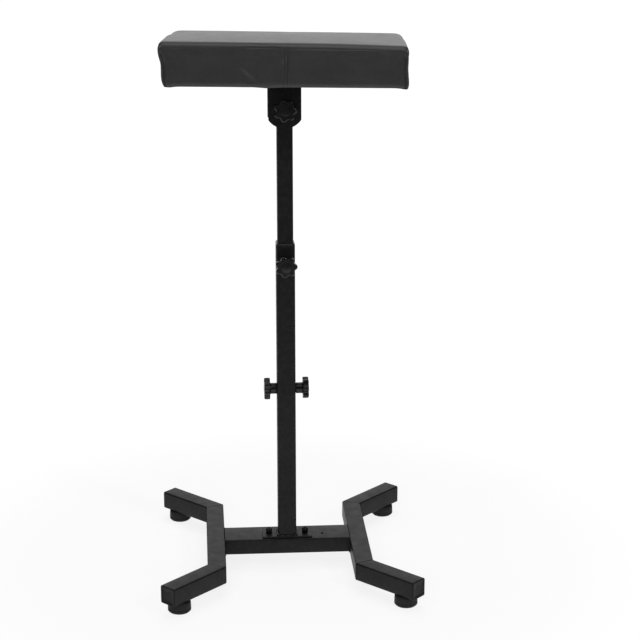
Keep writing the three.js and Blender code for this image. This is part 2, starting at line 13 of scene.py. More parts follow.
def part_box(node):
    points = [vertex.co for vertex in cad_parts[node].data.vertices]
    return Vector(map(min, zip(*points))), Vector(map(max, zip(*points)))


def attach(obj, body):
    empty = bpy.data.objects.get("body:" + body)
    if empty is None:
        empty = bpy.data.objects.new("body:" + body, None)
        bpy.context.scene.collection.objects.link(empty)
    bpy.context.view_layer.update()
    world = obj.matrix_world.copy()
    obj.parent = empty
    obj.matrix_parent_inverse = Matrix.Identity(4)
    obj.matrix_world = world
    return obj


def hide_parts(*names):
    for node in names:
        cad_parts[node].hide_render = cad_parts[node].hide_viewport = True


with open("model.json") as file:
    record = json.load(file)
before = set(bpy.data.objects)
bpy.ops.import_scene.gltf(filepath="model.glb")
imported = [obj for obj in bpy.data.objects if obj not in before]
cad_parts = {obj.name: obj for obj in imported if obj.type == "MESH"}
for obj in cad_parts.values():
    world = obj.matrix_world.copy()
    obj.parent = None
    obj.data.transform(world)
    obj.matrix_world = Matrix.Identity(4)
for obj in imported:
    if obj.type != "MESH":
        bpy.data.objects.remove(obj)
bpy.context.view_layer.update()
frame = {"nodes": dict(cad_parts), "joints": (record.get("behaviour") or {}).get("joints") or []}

# Tattoo armrest: H-shaped base, telescoping post, star knobs and a tilting padded rest.
# The dictionaries hold millimetres and degrees, except for the lamps and the studio, which are in metres.
mm = 0.001
print("armrest: frame loaded,", len(frame["nodes"]), "nodes")


# Node and object tools
def link(name, data):
    thing = bpy.data.objects.new(name, data)
    bpy.context.scene.collection.objects.link(thing)
    return thing


def assign(thing, **values):
    for name, value in values.items():
        setattr(thing, name, value)
    return thing


def moved(x, y, z):
    return Matrix.Translation(Vector((x, y, z)) * mm)


def swung(angle, axis):
    return Matrix.Rotation(radians(angle), 4, axis)


def feed(node, inputs):
    # gives each input a value or another node's output
    for socket, value in inputs.items():
        if isinstance(value, bpy.types.NodeSocket):
            node.id_data.links.new(value, node.inputs[socket])
        else:
            node.inputs[socket].default_value = value


def makeNode(tree, kind, output=0, inputs=None, **settings):
    node = assign(tree.nodes.new("ShaderNode" + kind), **settings)
    feed(node, inputs or {})
    return node.outputs[output]


def opaque(colour):
    return (*colour[:3], 1) if isinstance(colour, tuple) else colour


def noise(tree, place, scale, detail=2.0, roughness=0.5, output="Fac"):
    inputs = {"Vector": place, "Scale": scale, "Detail": detail, "Roughness": roughness}
    return makeNode(tree, "TexNoise", output, inputs)


def mapped(tree, value, low, high, toLow=0, toHigh=1, curve="LINEAR"):
    inputs = {"Value": value, "From Min": low, "From Max": high, "To Min": toLow, "To Max": toHigh}
    return makeNode(tree, "MapRange", "Result", inputs, interpolation_type=curve)


def toned(tree, factor, stops):
    output = makeNode(tree, "ValToRGB", "Color", {"Fac": factor})
    for stop, (position, colour) in zip(output.node.color_ramp.elements, stops):
        stop.position, stop.color = position, opaque(colour)
    return output


def bumped(tree, height, depth, below=None, strength=1.0):
    inputs = {"Height": height, "Distance": depth * mm, "Strength": strength}
    if below is not None:
        inputs["Normal"] = below
    return makeNode(tree, "Bump", "Normal", inputs)


def combined(tree, first, second, operation="MULTIPLY"):
    return makeNode(tree, "Math", 0, {0: first, 1: second}, operation=operation)


def blended(tree, factor, first, second):
    # mixes two colours
    return makeNode(tree, "Mix", 2, {0: factor, 6: opaque(first), 7: opaque(second)}, data_type="RGBA")


def wornEdges(tree, low, high):
    # 0 on flats and 1 along outer edges
    return mapped(tree, makeNode(tree, "NewGeometry", "Pointiness"), low, high)


def startFinish(name, inputs):
    material = bpy.data.materials.new(name)
    material.use_nodes = True
    tree = material.node_tree
    feed(tree.nodes["Principled BSDF"], inputs)
    return material, tree, tree.nodes["Principled BSDF"], makeNode(tree, "TexCoord", "Object")


# Camera, light and floor
cameraSet = {
    "lens": 101.94,  # on the 36 mm sensor
    "sensor": 36.0,
    "place": (-139.87, -2806.42, 1263.25),
    "turn": 2.84,  # from +Y toward +X
    "pitch": 16.70,  # down
    "roll": -0.37,
    "shift": 35 / 640,  # the picture was cropped off its middle
    "farthest": 60,  # in metres
}

lightSet = {
    # glossy says whether the lamp shows as a highlight
    "top": {
        "place": (0.2, 0.7, 2.9), "aim": (0, 0, 0.6), "size": (2.2, 1.6), "power": 30.5, "glossy": False,
    },
    "key": {
        "place": (-1.3, -1.0, 2.3), "aim": (0, 0, 0.5), "size": (0.3, 0.45), "power": 6, "glossy": True,
    },
    "side": {
        "place": (1.5, -1.6, 1.8), "aim": (0, 0, 0.6), "size": (0.25, 0.45), "power": 12, "glossy": True,
    },
    "fill": {
        "place": (-0.5, -3.0, 1.25), "aim": (0, 0, 0.7), "size": (2.0, 1.2), "power": 46, "glossy": False,
    },
}

studioSet = {
    # the white floor ends in front of the armrest, and dark curtains hang around that the camera doesn't see
    "ambient": 0.42,
    "reach": 20,
    "paper": 0.9,
    "floorRoughness": 0.9,
    "fade": (0.35, 0.9),  # from the middle, where the floor turns plain white
    "glow": 0.8,
    "glowStrength": 1.16,
    "edge": (-1.8, -1.3),
    "dark": 0.02,
    "curtainRoughness": 0.95,
    "curtains": {  # each from one corner to the other
        "front": ((-20, -6.5), (20, -6.5)),
        "right": ((2.4, -6.5), (2.4, 4.5)),
        "left": ((-2.6, 4.5), (-2.6, -6.5)),
    },
    "curtainHeight": 7,
}


def makeCamera():
    data = bpy.data.cameras.new("studioCamera")
    assign(data, lens=cameraSet["lens"], sensor_width=cameraSet["sensor"], shift_x=cameraSet["shift"],
           clip_end=cameraSet["farthest"])
    camera = link("studioCamera", data)
    facing = swung(-cameraSet["turn"], "Z") @ swung(90 - cameraSet["pitch"], "X")
    camera.matrix_world = moved(*cameraSet["place"]) @ facing @ swung(cameraSet["roll"], "Z")
    bpy.context.scene.camera = camera


def makeLamp(name, values):
    data = assign(bpy.data.lights.new(name + "Light", "AREA"), shape="RECTANGLE", energy=values["power"])
    data.size, data.size_y = values["size"]
    lamp = link(name + "Light", data)
    place = Vector(values["place"])
    lamp.location = place
    lamp.rotation_euler = (place - Vector(values["aim"])).to_track_quat("Z", "Y").to_euler()
    lamp.visible_glossy = values["glossy"]


def seenDirectly(tree):
    # 1 for camera, glossy and transmission rays, which see the white backdrop
    path = tree.nodes.new("ShaderNodeLightPath").outputs
    either = combined(tree, path["Is Camera Ray"], path["Is Glossy Ray"], "MAXIMUM")
    return combined(tree, either, path["Is Transmission Ray"], "MAXIMUM")


def makeWorld():
    world = bpy.data.worlds.new("studio")
    bpy.context.scene.world = world
    world.use_nodes = True
    tree = world.node_tree
    level = mapped(tree, seenDirectly(tree), 0, 1, studioSet["ambient"], 1)
    feed(tree.nodes["Background"], {"Color": (1, 1, 1, 1), "Strength": level})


def stageSheet(name, corners, roughness, colour=(0, 0, 0, 1)):
    inputs = {"Base Color": colour, "Roughness": roughness, "Specular IOR Level": 0}
    material, tree, shader, place = startFinish(name + "Paint", inputs)
    mesh = bpy.data.meshes.new(name)
    mesh.from_pydata(corners, [], [(0, 1, 2, 3)])
    mesh.materials.append(material)
    sheet = link(name, mesh)
    return sheet, tree, shader, place


def makeFloor():
    reach = studioSet["reach"]
    corners = [(-reach, -reach, 0), (reach, -reach, 0), (reach, reach, 0), (-reach, reach, 0)]
    _, tree, shader, place = stageSheet("studioFloor", corners, studioSet["floorRoughness"])
    # dark in front, except for the camera
    ahead = makeNode(tree, "SeparateXYZ", "Y", {0: place})
    paper = mapped(tree, ahead, *studioSet["edge"], curve="SMOOTHSTEP")
    white = combined(tree, paper, makeNode(tree, "LightPath", "Is Camera Ray"), "MAXIMUM")
    colour = blended(tree, white, (studioSet["dark"],) * 3, (studioSet["paper"],) * 3)
    # plain white away from the armrest, to those rays that see the backdrop
    distance = makeNode(tree, "VectorMath", "Value", {0: place}, operation="LENGTH")
    fade = mapped(tree, distance, *studioSet["fade"], studioSet["glow"], 1, "SMOOTHSTEP")
    share = combined(tree, fade, seenDirectly(tree))
    glow = makeNode(tree, "Emission", 0, {"Color": colour, "Strength": studioSet["glowStrength"]})
    feed(shader, {"Base Color": colour})
    mixed = makeNode(tree, "MixShader", 0, {0: share, 1: shader.outputs[0], 2: glow})
    feed(tree.nodes["Material Output"], {"Surface": mixed})


def makeCurtains():
    high = studioSet["curtainHeight"]
    for name, (start, end) in studioSet["curtains"].items():
        corners = [(*start, 0), (*end, 0), (*end, high), (*start, high)]
        colour = opaque((studioSet["dark"],) * 3)
        curtain = stageSheet(name + "Curtain", corners, studioSet["curtainRoughness"], colour)[0]
        curtain.visible_camera = False


bpy.context.scene.view_settings.view_transform = "Standard"
makeCamera()
makeWorld()
for lampName, lampValues in lightSet.items():
    makeLamp(lampName, lampValues)
makeFloor()
makeCurtains()
print("armrest: camera, lights and floor made")


# Finishes
# clouds and gloss are noises of a scale and a detail, tones are places on the clouds with their colours,
# and bumps are noises with a depth
noiseRange = (0.3, 0.7)  # what a noise mostly lies between
coatSet = {
    "shader": {"Specular IOR Level": 0.218},
    "clouds": (24, 3),
    "tones": ((0.35, (0.0046, 0.0046, 0.0049)), (0.65, (0.0074, 0.0074, 0.0078))),
    "gloss": (60, 3),
    "roughness": (0.4, 0.5),
    "bumps": ((620, 1, 0.05), (2600, 2, 0.025)),
    "worn": (0.022, 0.022, 0.023),
    "edges": (0.52, 0.6),
    "spots": (130, 4),
    "spotRange": (0.45, 0.7, 0, 0.8),
}
weldCoatSet = {**coatSet, "roughness": (0.2, 0.3)}
plasticSet = {
    "shader": {"Specular IOR Level": 0.35},
    "clouds": (90, 3),
    "tones": ((0.35, (0.0068, 0.0068, 0.0072)), (0.65, (0.011, 0.011, 0.0115))),
    "gloss": (150, 4),
    "roughness": (0.2, 0.26),
    "bumps": ((1500, 2, 0.008),),
    "worn": (0.03, 0.03, 0.031),
    "edges": (0.53, 0.62),
    "scuffed": 0.5,
}
capSet = {
    "shader": {"Specular IOR Level": 0.2},
    "clouds": (70, 4),
    "tones": ((0.35, (0.0075, 0.0075, 0.0078)), (0.65, (0.011, 0.011, 0.0114))),
    "gloss": (70, 4),
    "roughness": (0.5, 0.6),
    "bumps": ((900, 3, 0.04),),
}
rubberSet = {
    "shader": {"Specular IOR Level": 0.3},
    "clouds": (110, 4),
    "tones": ((0.35, (0.0085, 0.0085, 0.0085)), (0.65, (0.014, 0.014, 0.014))),
    "gloss": (110, 4),
    "roughness": (0.6, 0.78),
    "bumps": ((1400, 3, 0.05),),
    "worn": (0.05, 0.048, 0.045),  # dust
    "dustHeight": 3.5,
    "dustShare": 0.7,
    "dust": (320, 5),
}
zincSet = {
    "shader": {"Metallic": 1.0},
    "clouds": (140, 4),
    "tones": ((0.3, (0.42, 0.43, 0.44)), (0.7, (0.62, 0.62, 0.6))),
    "gloss": (500, 4),
    "roughness": (0.24, 0.4),
    "bumps": ((1600, 3, 0.02),),
}
blackSteelSet = {
    **zincSet,
    "tones": ((0.3, (0.016, 0.016, 0.018)), (0.7, (0.035, 0.035, 0.037))),
    "roughness": (0.28, 0.42),
    "bumps": ((1800, 3, 0.02),),
}
threadSet = {
    "shader": {"Roughness": 0.7, "Specular IOR Level": 0.12},
    "clouds": (5200, 2),
    "tones": ((0.3, (0.004, 0.004, 0.004)), (0.7, (0.01, 0.01, 0.0105))),
    "bumps": ((5200, 2, 0.06),),
}
leatherSet = {
    "shader": {"Specular IOR Level": 0.445},
    "clouds": (30, 4),
    "tones": ((0.35, (0.034, 0.034, 0.0342)), (0.68, (0.04, 0.04, 0.0403))),
    # painted shade: the colour laid into the grain's creases
    "crease": (0.021, 0.021, 0.0212),
    "gloss": (45, 3),
    "roughness": (0.28, 0.32),
    "creaseDuller": 1.25,
    "cellScale": 720,
    "cellBend": (240, 1.6),
    "cellEdge": 0.16,
    "cellDepth": 0.05,
    "cellStrength": 0.6,
    "bump": (2400, 2, 0.01),
}
foamSet = {
    "shader": {"Roughness": 0.95, "Specular IOR Level": 0.1},
    "poreScale": 900,
    "poreDepth": 0.5,
    # painted shade: the darker tone lies in the pores' pits
    "tones": ((0.1, (0.45, 0.38, 0.16)), (0.6, (0.78, 0.7, 0.4))),
}
plywoodSet = {
    "shader": {"Roughness": 0.7, "Specular IOR Level": 0.25},
    "stretch": (1, 9, 24),
    "streaks": (26, 6, 0.62),
    "streakDepth": 0.15,
    "tones": ((0.3, (0.36, 0.21, 0.1)), (0.7, (0.6, 0.41, 0.22))),
}


def makeFinish(name, values, worn=None):
    # worn gives the share of the worn colour
    material, tree, shader, place = startFinish(name, values["shader"])
    inputs = {"Base Color": toned(tree, noise(tree, place, *values["clouds"]), values["tones"])}
    if worn:
        inputs["Base Color"] = blended(tree, worn(tree, place), inputs["Base Color"], values["worn"])
    if "gloss" in values:
        gloss = noise(tree, place, *values["gloss"])
        inputs["Roughness"] = mapped(tree, gloss, *noiseRange, *values["roughness"])
    for scale, detail, depth in values["bumps"]:
        inputs["Normal"] = bumped(tree, noise(tree, place, scale, detail), depth, inputs.get("Normal"))
    feed(shader, inputs)
    return material


def rubbedEdges(tree, place):
    spots = mapped(tree, noise(tree, place, *coatSet["spots"]), *coatSet["spotRange"])
    return combined(tree, wornEdges(tree, *coatSet["edges"]), spots)


def scuffedEdges(tree, place):
    return combined(tree, wornEdges(tree, *plasticSet["edges"]), plasticSet["scuffed"])


def dustBelow(tree, place):
    height = makeNode(tree, "SeparateXYZ", "Z", {0: place})
    low = mapped(tree, height, 0, rubberSet["dustHeight"] * mm, rubberSet["dustShare"], 0)
    return combined(tree, low, noise(tree, place, *rubberSet["dust"]))


def makeLeatherette():
    # pebbles between fine creases, as bent cells, with painted shade darkening the creases
    material, tree, shader, place = startFinish("leatherette", leatherSet["shader"])
    bendScale, bend = leatherSet["cellBend"]
    shift = {0: noise(tree, place, bendScale, output="Color"), 1: (bend * mm,) * 3, 2: place}
    bent = makeNode(tree, "VectorMath", "Vector", shift, operation="MULTIPLY_ADD")
    cells = makeNode(tree, "TexVoronoi", "Distance", feature="DISTANCE_TO_EDGE")
    feed(cells.node, {"Scale": leatherSet["cellScale"], "Vector": bent})
    pebbles = mapped(tree, cells, 0, leatherSet["cellEdge"])
    colour = toned(tree, noise(tree, place, *leatherSet["clouds"]), leatherSet["tones"])
    gloss = mapped(tree, noise(tree, place, *leatherSet["gloss"]), *noiseRange, *leatherSet["roughness"])
    grain = bumped(tree, pebbles, leatherSet["cellDepth"], strength=leatherSet["cellStrength"])
    scale, detail, depth = leatherSet["bump"]
    feed(shader, {
        # painted shade: the creases get the darker colour
        "Base Color": blended(tree, pebbles, leatherSet["crease"], colour),
        "Roughness": combined(tree, gloss, mapped(tree, pebbles, 0, 1, leatherSet["creaseDuller"], 1)),
        "Normal": bumped(tree, noise(tree, place, scale, detail), depth, grain),
    })
    return material


def makeFoam():
    material, tree, shader, place = startFinish("padFoam", foamSet["shader"])
    pores = makeNode(tree, "TexVoronoi", "Distance", {"Scale": foamSet["poreScale"], "Vector": place})
    normal = bumped(tree, pores, foamSet["poreDepth"])
    # painted shade darkens the pores
    feed(shader, {"Base Color": toned(tree, pores, foamSet["tones"]), "Normal": normal})
    return material


def makePlywood():
    material, tree, shader, place = startFinish("plywood", plywoodSet["shader"])
    stretched = makeNode(tree, "Mapping", "Vector", {"Scale": plywoodSet["stretch"], "Vector": place})
    streaks = noise(tree, stretched, *plywoodSet["streaks"])
    normal = bumped(tree, streaks, plywoodSet["streakDepth"])
    feed(shader, {"Base Color": toned(tree, streaks, plywoodSet["tones"]), "Normal": normal})
    return material


powderCoat = makeFinish("powderCoat", coatSet, rubbedEdges)
weldCoat = makeFinish("weldCoat", weldCoatSet, rubbedEdges)
leatherette = makeLeatherette()
blackPlastic = makeFinish("blackPlastic", plasticSet, scuffedEdges)
capPlastic = makeFinish("capPlastic", capSet)
blackRubber = makeFinish("blackRubber", rubberSet, dustBelow)
zincSteel = makeFinish("zincSteel", zincSet)
blackSteel = makeFinish("blackSteel", blackSteelSet)
padFoam = makeFoam()
plywood = makePlywood()
blackThread = makeFinish("blackThread", threadSet)
print("armrest: finishes made")


def loft(rings, closed=False):
    shape = bmesh.new()
    rows = [[shape.verts.new(point) for point in ring] for ring in rings]
    pairs = list(zip(rows, rows[1:]))
    if closed:
        pairs.append((rows[-1], rows[0]))
    count = len(rows[0])
    for low, high in pairs:
        for index in range(count):
            after = (index + 1) % count
            shape.faces.new((low[index], low[after], high[after], high[index]))
    if not closed:
        shape.faces.new(rows[0][::-1])
        shape.faces.new(rows[-1])
    bmesh.ops.recalc_face_normals(shape, faces=shape.faces)
    return shape


def roundedOutline(width, depth, radius, steps=6):
    points = []
    for quarter, (sideX, sideY) in enumerate(((1, 1), (-1, 1), (-1, -1), (1, -1))):
        middle = Vector((sideX * (width / 2 - radius), sideY * (depth / 2 - radius)))
        for step in range(steps + 1):
            angle = (quarter + step / steps) * pi / 2
            points.append(middle + radius * Vector((cos(angle), sin(angle))))
    return points


def flatRing(outline, level):
    return [Vector((point.x, point.y, level)) * mm for point in outline]


def polar(reach, angle, level=0):
    return Vector((reach * cos(angle), reach * sin(angle), level))


def angles(count):
    return [2 * pi * step / count for step in range(count)]


def turned(profile, sides, closed=True):
    # profile holds (radius, height) pairs about the Z axis
    rings = [[polar(radius, angle, height) * mm for angle in angles(sides)] for radius, height in profile]
    return loft(rings, closed)


def meshOf(name, shape):
    mesh = bpy.data.meshes.new(name)
    shape.to_mesh(mesh)
    shape.free()
    return mesh


def merge(shapes):
    merged = bmesh.new()
    for shape in shapes:
        mesh = meshOf("scrap", shape)
        merged.from_mesh(mesh)
        bpy.data.meshes.remove(mesh)
    return merged


def dress(piece, body, material, replaced):
    piece.data.materials.clear()
    piece.data.materials.append(material)
    piece.data.polygons.foreach_set("use_smooth", [True] * len(piece.data.polygons))
    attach(piece, body)
    if replaced:
        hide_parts(*replaced)


def addPiece(shape, name, body, material, replaced=(), stand=Matrix(), sharp=None):
    shape.transform(stand)
    piece = link(name, meshOf(name, shape))
    dress(piece, body, material, replaced)
    if sharp is not None:
        piece.data.set_sharp_from_angle(angle=radians(sharp))
    return piece


def easeEdges(piece, width, limit=40):
    bevel = piece.modifiers.new("easedEdges", "BEVEL")
    assign(bevel, width=width * mm, segments=2, limit_method="ANGLE", angle_limit=radians(limit),
           harden_normals=True, miter_outer="MITER_ARC")


def keepResult(piece):
    # turns the modifiers into mesh
    graph = bpy.context.evaluated_depsgraph_get()
    mesh = bpy.data.meshes.new_from_object(piece.evaluated_get(graph))
    piece.modifiers.clear()
    piece.data = mesh
    return piece


def cutHoles(piece, axis, length, holes):
    # each hole is given by its middle and radius
    turn = Vector(axis).to_track_quat("Z", "Y").to_matrix().to_4x4()
    for middle, radius in holes:
        shape = turned(((radius, -length / 2), (radius, length / 2)), 32, closed=False)
        shape.transform(moved(*middle) @ turn)
        tool = link("drill", meshOf("drill", shape))
        assign(piece.modifiers.new("hole", "BOOLEAN"), operation="DIFFERENCE", solver="EXACT", object=tool)
        keepResult(piece)
        bpy.data.objects.remove(tool)


def boxSize(node):
    low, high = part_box(node)
    return (high - low) / mm, (high + low) / 2 / mm


# Steel tubes
tubeSet = {
    "round": 2.5,
    "railWall": 1.5,
    "barWall": 1.5,
    "postWall": 1.2,
    "mastWall": 1.5,
    "mitreAlong": 125,  # from the crossbar's middle to each mitre point
    "legLength": 112,  # from the mitre point to the cap's face
    "legTurn": 45,
    "seam": 0.12,
    "openSeam": {"frontRight": 0.8},  # a mitre that was filled less
    "cutEdge": 0.35,
}

capShapeSet = {
    "thickness": 2,
    "plugLength": 9,
    "plugGap": 0.3,
    # share of the outline, and place before the cap's face
    "face": ((1, -0.9), (0.975, -0.25), (0.93, 0), (0.86, 0), (0.84, -0.35), (0.4, -0.35)),
}

barSet = {
    "holes": ((59, 2.5), (-30, 3.3), (30, 3.3)),  # the spare hole and the screws' holes, by place and radius
    "drillLevel": 13,
    "drillLength": 12,
}


def tubeShape(width, height, wall, startAt, endAt):
    # a tube along X whose ends lie at startAt(y) and endAt(y)
    outside = roundedOutline(width, height, tubeSet["round"])
    inside = roundedOutline(width - 2 * wall, height - 2 * wall, tubeSet["round"] - wall / 2)
    rings = []
    for outline, place in ((outside, startAt), (outside, endAt), (inside, endAt), (inside, startAt)):
        rings.append([Vector((place(point.x), point.x, point.y)) * mm for point in outline])
    return loft(rings, closed=True)


def makeBaseTubes():
    dims, middle = boxSize("right_rail")
    size, level, across, wall = dims.z, middle.z, middle.x, tubeSet["railWall"]
    slope = tan(radians(tubeSet["legTurn"] / 2))
    along, seam = tubeSet["mitreAlong"], tubeSet["seam"]
    for side, sideName in ((-1, "left"), (1, "right")):
        # local X runs along +Y, and local +Y points to -X
        shape = tubeShape(size, size, wall, lambda y: -along + seam - side * slope * y,
                          lambda y: along - seam + side * slope * y)
        stand = moved(side * across, 0, level) @ swung(90, "Z")
        rail = addPiece(shape, sideName + "Rail", "base", powderCoat, [sideName + "_rail"], stand)
        easeEdges(rail, tubeSet["cutEdge"])
        for end, endName in ((-1, "front"), (1, "rear")):
            name, node = endName + sideName.capitalize(), endName + "_" + sideName
            length = tubeSet["legLength"] - capShapeSet["thickness"] - seam
            lean = end * side
            start = seam + tubeSet["openSeam"].get(name, 0)
            shape = tubeShape(size, size, wall, lambda y: start - lean * slope * y, lambda y: length)
            turn = swung(90 * end - lean * tubeSet["legTurn"], "Z")
            stand = moved(side * across, end * along, level) @ turn
            leg = addPiece(shape, name + "Leg", "base", powderCoat, [node + "_leg"], stand)
            easeEdges(leg, tubeSet["cutEdge"])
            makeEndCap(name, node, size, stand)


def makeEndCap(name, node, size, stand):
    outline = roundedOutline(size, size, tubeSet["round"])
    plug = size - 2 * (tubeSet["railWall"] + capShapeSet["plugGap"])
    inner = roundedOutline(plug, plug, tubeSet["round"] - tubeSet["railWall"] / 2)
    face = tubeSet["legLength"]
    back = face - capShapeSet["thickness"]
    rows = [(inner, 1, back - capShapeSet["plugLength"]), (inner, 1, back), (outline, 1, back)]
    rows += [(outline, share, face + x) for share, x in capShapeSet["face"]]
    rings = []
    for points, share, x in rows:
        rings.append([Vector((x, point.x * share, point.y * share)) * mm for point in points])
    addPiece(loft(rings), name + "EndCap", "base", capPlastic, [node + "_end_cap"], stand, 50)


def makeCrossbar():
    dims, middle = boxSize("crossbar")
    half = dims.x / 2 + tubeSet["seam"]
    shape = tubeShape(dims.y, dims.z, tubeSet["barWall"], lambda y: -half, lambda y: half)
    bar = addPiece(shape, "crossbarTube", "base", powderCoat, ["crossbar"], moved(*middle))
    level = middle.z + barSet["drillLevel"]
    holes = [((x, boxSize("post_tube")[1].y, level), radius) for x, radius in barSet["holes"]]
    cutHoles(bar, (0, 0, 1), barSet["drillLength"], holes)
    easeEdges(bar, tubeSet["cutEdge"])


def makeUpright(node, name, wall, body):
    dims, middle = boxSize(node)
    half = dims.z / 2
    shape = tubeShape(dims.x, dims.y, wall, lambda y: -half, lambda y: half)
    stand = moved(*middle) @ swung(-90, "Y")
    easeEdges(addPiece(shape, name, body, powderCoat, [node], stand), tubeSet["cutEdge"])


makeBaseTubes()
makeCrossbar()
makeUpright("post_tube", "postTube", tubeSet["postWall"], "base")
makeUpright("mast_tube", "mastTube", tubeSet["mastWall"], "mast")
print("armrest: tubes made")


# Foot plate, its screws and washers
plateSet = {"round": 1.6, "edge": 0.35, "holeRadius": 3.3, "holeReach": 30, "drillLength": 12}

screwSet = {
    "headRadius": 5,
    "headHeight": 6,
    "chamfer": 0.7,
    "knurls": 36,
    "knurlDepth": 0.28,
    "socketAcross": 5,
    "socketDepth": 3.2,
    "shankRadius": 3,
    "washerHole": 3.3,
    "washerEdge": 0.3,
}


def makeFootPlate():
    dims, middle = boxSize("post_foot_plate")
    outline = roundedOutline(dims.x, dims.y, plateSet["round"])
    shape = loft([flatRing(outline, level) for level in (-dims.z / 2, dims.z / 2)])
    plate = addPiece(shape, "footPlate", "base", powderCoat, ["post_foot_plate"], moved(*middle))
    places = [(side * plateSet["holeReach"], middle.y, middle.z) for side in (-1, 1)]
    cutHoles(plate, (0, 0, 1), plateSet["drillLength"], [(place, plateSet["holeRadius"]) for place in places])
    easeEdges(plate, plateSet["edge"])


def socketScrewShape(shank):
    # a cap screw with a knurled head, standing on its head's underside
    radius, height, chamfer = screwSet["headRadius"], screwSet["headHeight"], screwSet["chamfer"]
    knurl, flat, shankRadius = screwSet["knurlDepth"], screwSet["socketAcross"] / 2, screwSet["shankRadius"]
    deep = height - screwSet["socketDepth"]

    def ring(at, level, knurled=0.0, hexagonal=False):
        points = []
        for angle in angles(screwSet["knurls"] * 4):
            reach = at - knurled * abs(sin(screwSet["knurls"] * angle / 2)) ** 3
            if hexagonal:
                reach = at / cos((angle % (pi / 3)) - pi / 6)
            points.append(polar(reach, angle, level) * mm)
        return points

    return loft([
        ring(0.4, -shank), ring(shankRadius, -shank), ring(shankRadius, 0), ring(radius - 0.5, 0),
        ring(radius - 0.1, 0.4), ring(radius, 0.7, knurl), ring(radius, height - 1.3 * chamfer, knurl),
        ring(radius - 0.15, height - chamfer), ring(radius - chamfer, height - 0.12),
        ring(radius - 1.4 * chamfer, height), ring(flat + 0.25, height, 0, True),
        ring(flat, height - 0.25, 0, True), ring(flat, deep, 0, True), ring(0.3, deep - 0.9),
    ])


def makePostScrews():
    for name in ("left", "right"):
        dims, middle = boxSize(name + "_post_screw")
        shape = socketScrewShape(dims.z - screwSet["headHeight"])
        stand = moved(middle.x, middle.y, middle.z + dims.z / 2 - screwSet["headHeight"])
        addPiece(shape, name + "PostScrew", "base", blackSteel, [name + "_post_screw"], stand, 38)
        dims, middle = boxSize(name + "_post_washer")
        inner, outer, half = screwSet["washerHole"], dims.x / 2, dims.z / 2
        shape = turned(((inner, -half), (outer, -half), (outer, half), (inner, half)), 48)
        stand = moved(*middle)
        washer = addPiece(shape, name + "PostWasher", "base", blackSteel, [name + "_post_washer"], stand)
        easeEdges(washer, screwSet["washerEdge"])


makeFootPlate()
makePostScrews()
print("armrest: foot plate and screws made")


# Welds
weldSet = {
    "radius": 1.5,
    "endRadius": 2.5,
    "pitch": 2.3,
    "ripple": 0.2,
    "step": 0.45,
    "swell": (0.88, 1.12),  # how much one scale may differ from the radius
    "blunt": 0.03,  # how blunt a bead ends
    "sides": 10,
    "sink": 0.45,
    "inset": 0.3,
    "barFoot": ((-7, -0.4), (-1, -0.2), (0.4, 2)),  # beyond the crossbar's side, and above its underside
    "barHead": ((0.4, -2.2), (-0.6, -0.5)),  # and above its top
    "mitre": (1.8, -3),  # above the rail's underside and its top
    "mitreOut": 0.1,
    "mitreShare": 0.8,  # of the radius
    "underInset": 8,
    "underShare": 0.9,
    "postOutline": (1.2, 3.2),  # how much wider than the post, and its corner radius
    "postShare": 1.05,
    "postEnds": (3, 1, 1.5),  # length of each leg, and heights at its ends and at the corner
}


def weldShape(path, closed, radius, seed):
    # a bead of overlapping scales along the points of path
    chance = random.Random(seed)
    points = [Vector(point) for point in path]
    if closed:
        points.append(points[0])
    stations = []
    for start, end in zip(points, points[1:]):
        count = max(1, round((end - start).length / weldSet["step"]))
        stations += [start.lerp(end, index / count) for index in range(count)]
    if not closed:
        stations.append(points[-1])
    total = len(stations)
    rings = []
    swell = 1.0
    for index, middle in enumerate(stations):
        before = stations[(index - 1) % total] if closed or index else middle
        after = stations[(index + 1) % total] if closed or index < total - 1 else middle
        phase = index * weldSet["step"] / weldSet["pitch"] % 1
        if phase < weldSet["step"] / weldSet["pitch"]:
            swell = chance.uniform(*weldSet["swell"])
        reach = radius * swell * (1 - weldSet["ripple"] + weldSet["ripple"] * sin(pi * phase))
        if not closed:
            nearEnd = min(index, total - 1 - index) * weldSet["step"] / radius
            reach *= sqrt(max(weldSet["blunt"], 1 - (1 - min(1, nearEnd)) ** 2))
        spread = (after - before).normalized().to_track_quat("Z", "Y")
        rings.append([(middle + spread @ polar(reach, angle)) * mm for angle in angles(weldSet["sides"])])
    return loft(rings, closed)


def makeBaseWelds():
    # returns the next seed
    dims, middle = boxSize("right_rail")
    barDims, barMiddle = boxSize("crossbar")
    size, radius = dims.z, weldSet["radius"]
    front, barLow, barHigh = barDims.y / 2, barMiddle.z - barDims.z / 2, barMiddle.z + barDims.z / 2
    slope = tan(radians(tubeSet["legTurn"] / 2))
    beads = []
    for side in (-1, 1):
        corner = side * (middle.x - size / 2 - weldSet["inset"])  # inside the rail's inner face
        for end in (-1, 1):
            path = [(corner, end * (front + out), barLow + rise) for out, rise in weldSet["barFoot"]]
            path += [(corner, end * (front + out), barHigh + rise) for out, rise in weldSet["barHead"]]
            beads.append((path, radius))
        # along the crossbar's underside
        reach, level = front - weldSet["underInset"], barLow - weldSet["inset"]
        beads.append(([(corner, -reach, level), (corner, reach, level)], radius * weldSet["underShare"]))
        for end in (-1, 1):
            # the vertical corner of each mitre, on the side that the leg turns to
            x = side * (middle.x + size / 2 + weldSet["mitreOut"])
            y = end * (tubeSet["mitreAlong"] - slope * size / 2)
            low, high = middle.z - size / 2 + weldSet["mitre"][0], middle.z + size / 2 + weldSet["mitre"][1]
            beads.append(([(x, y, low), (x, y, high)], radius * weldSet["mitreShare"]))
    shapes = [weldShape(path, False, reach, seed) for seed, (path, reach) in enumerate(beads, 1)]
    addPiece(merge(shapes), "baseWelds", "base", weldCoat)
    return len(beads) + 1


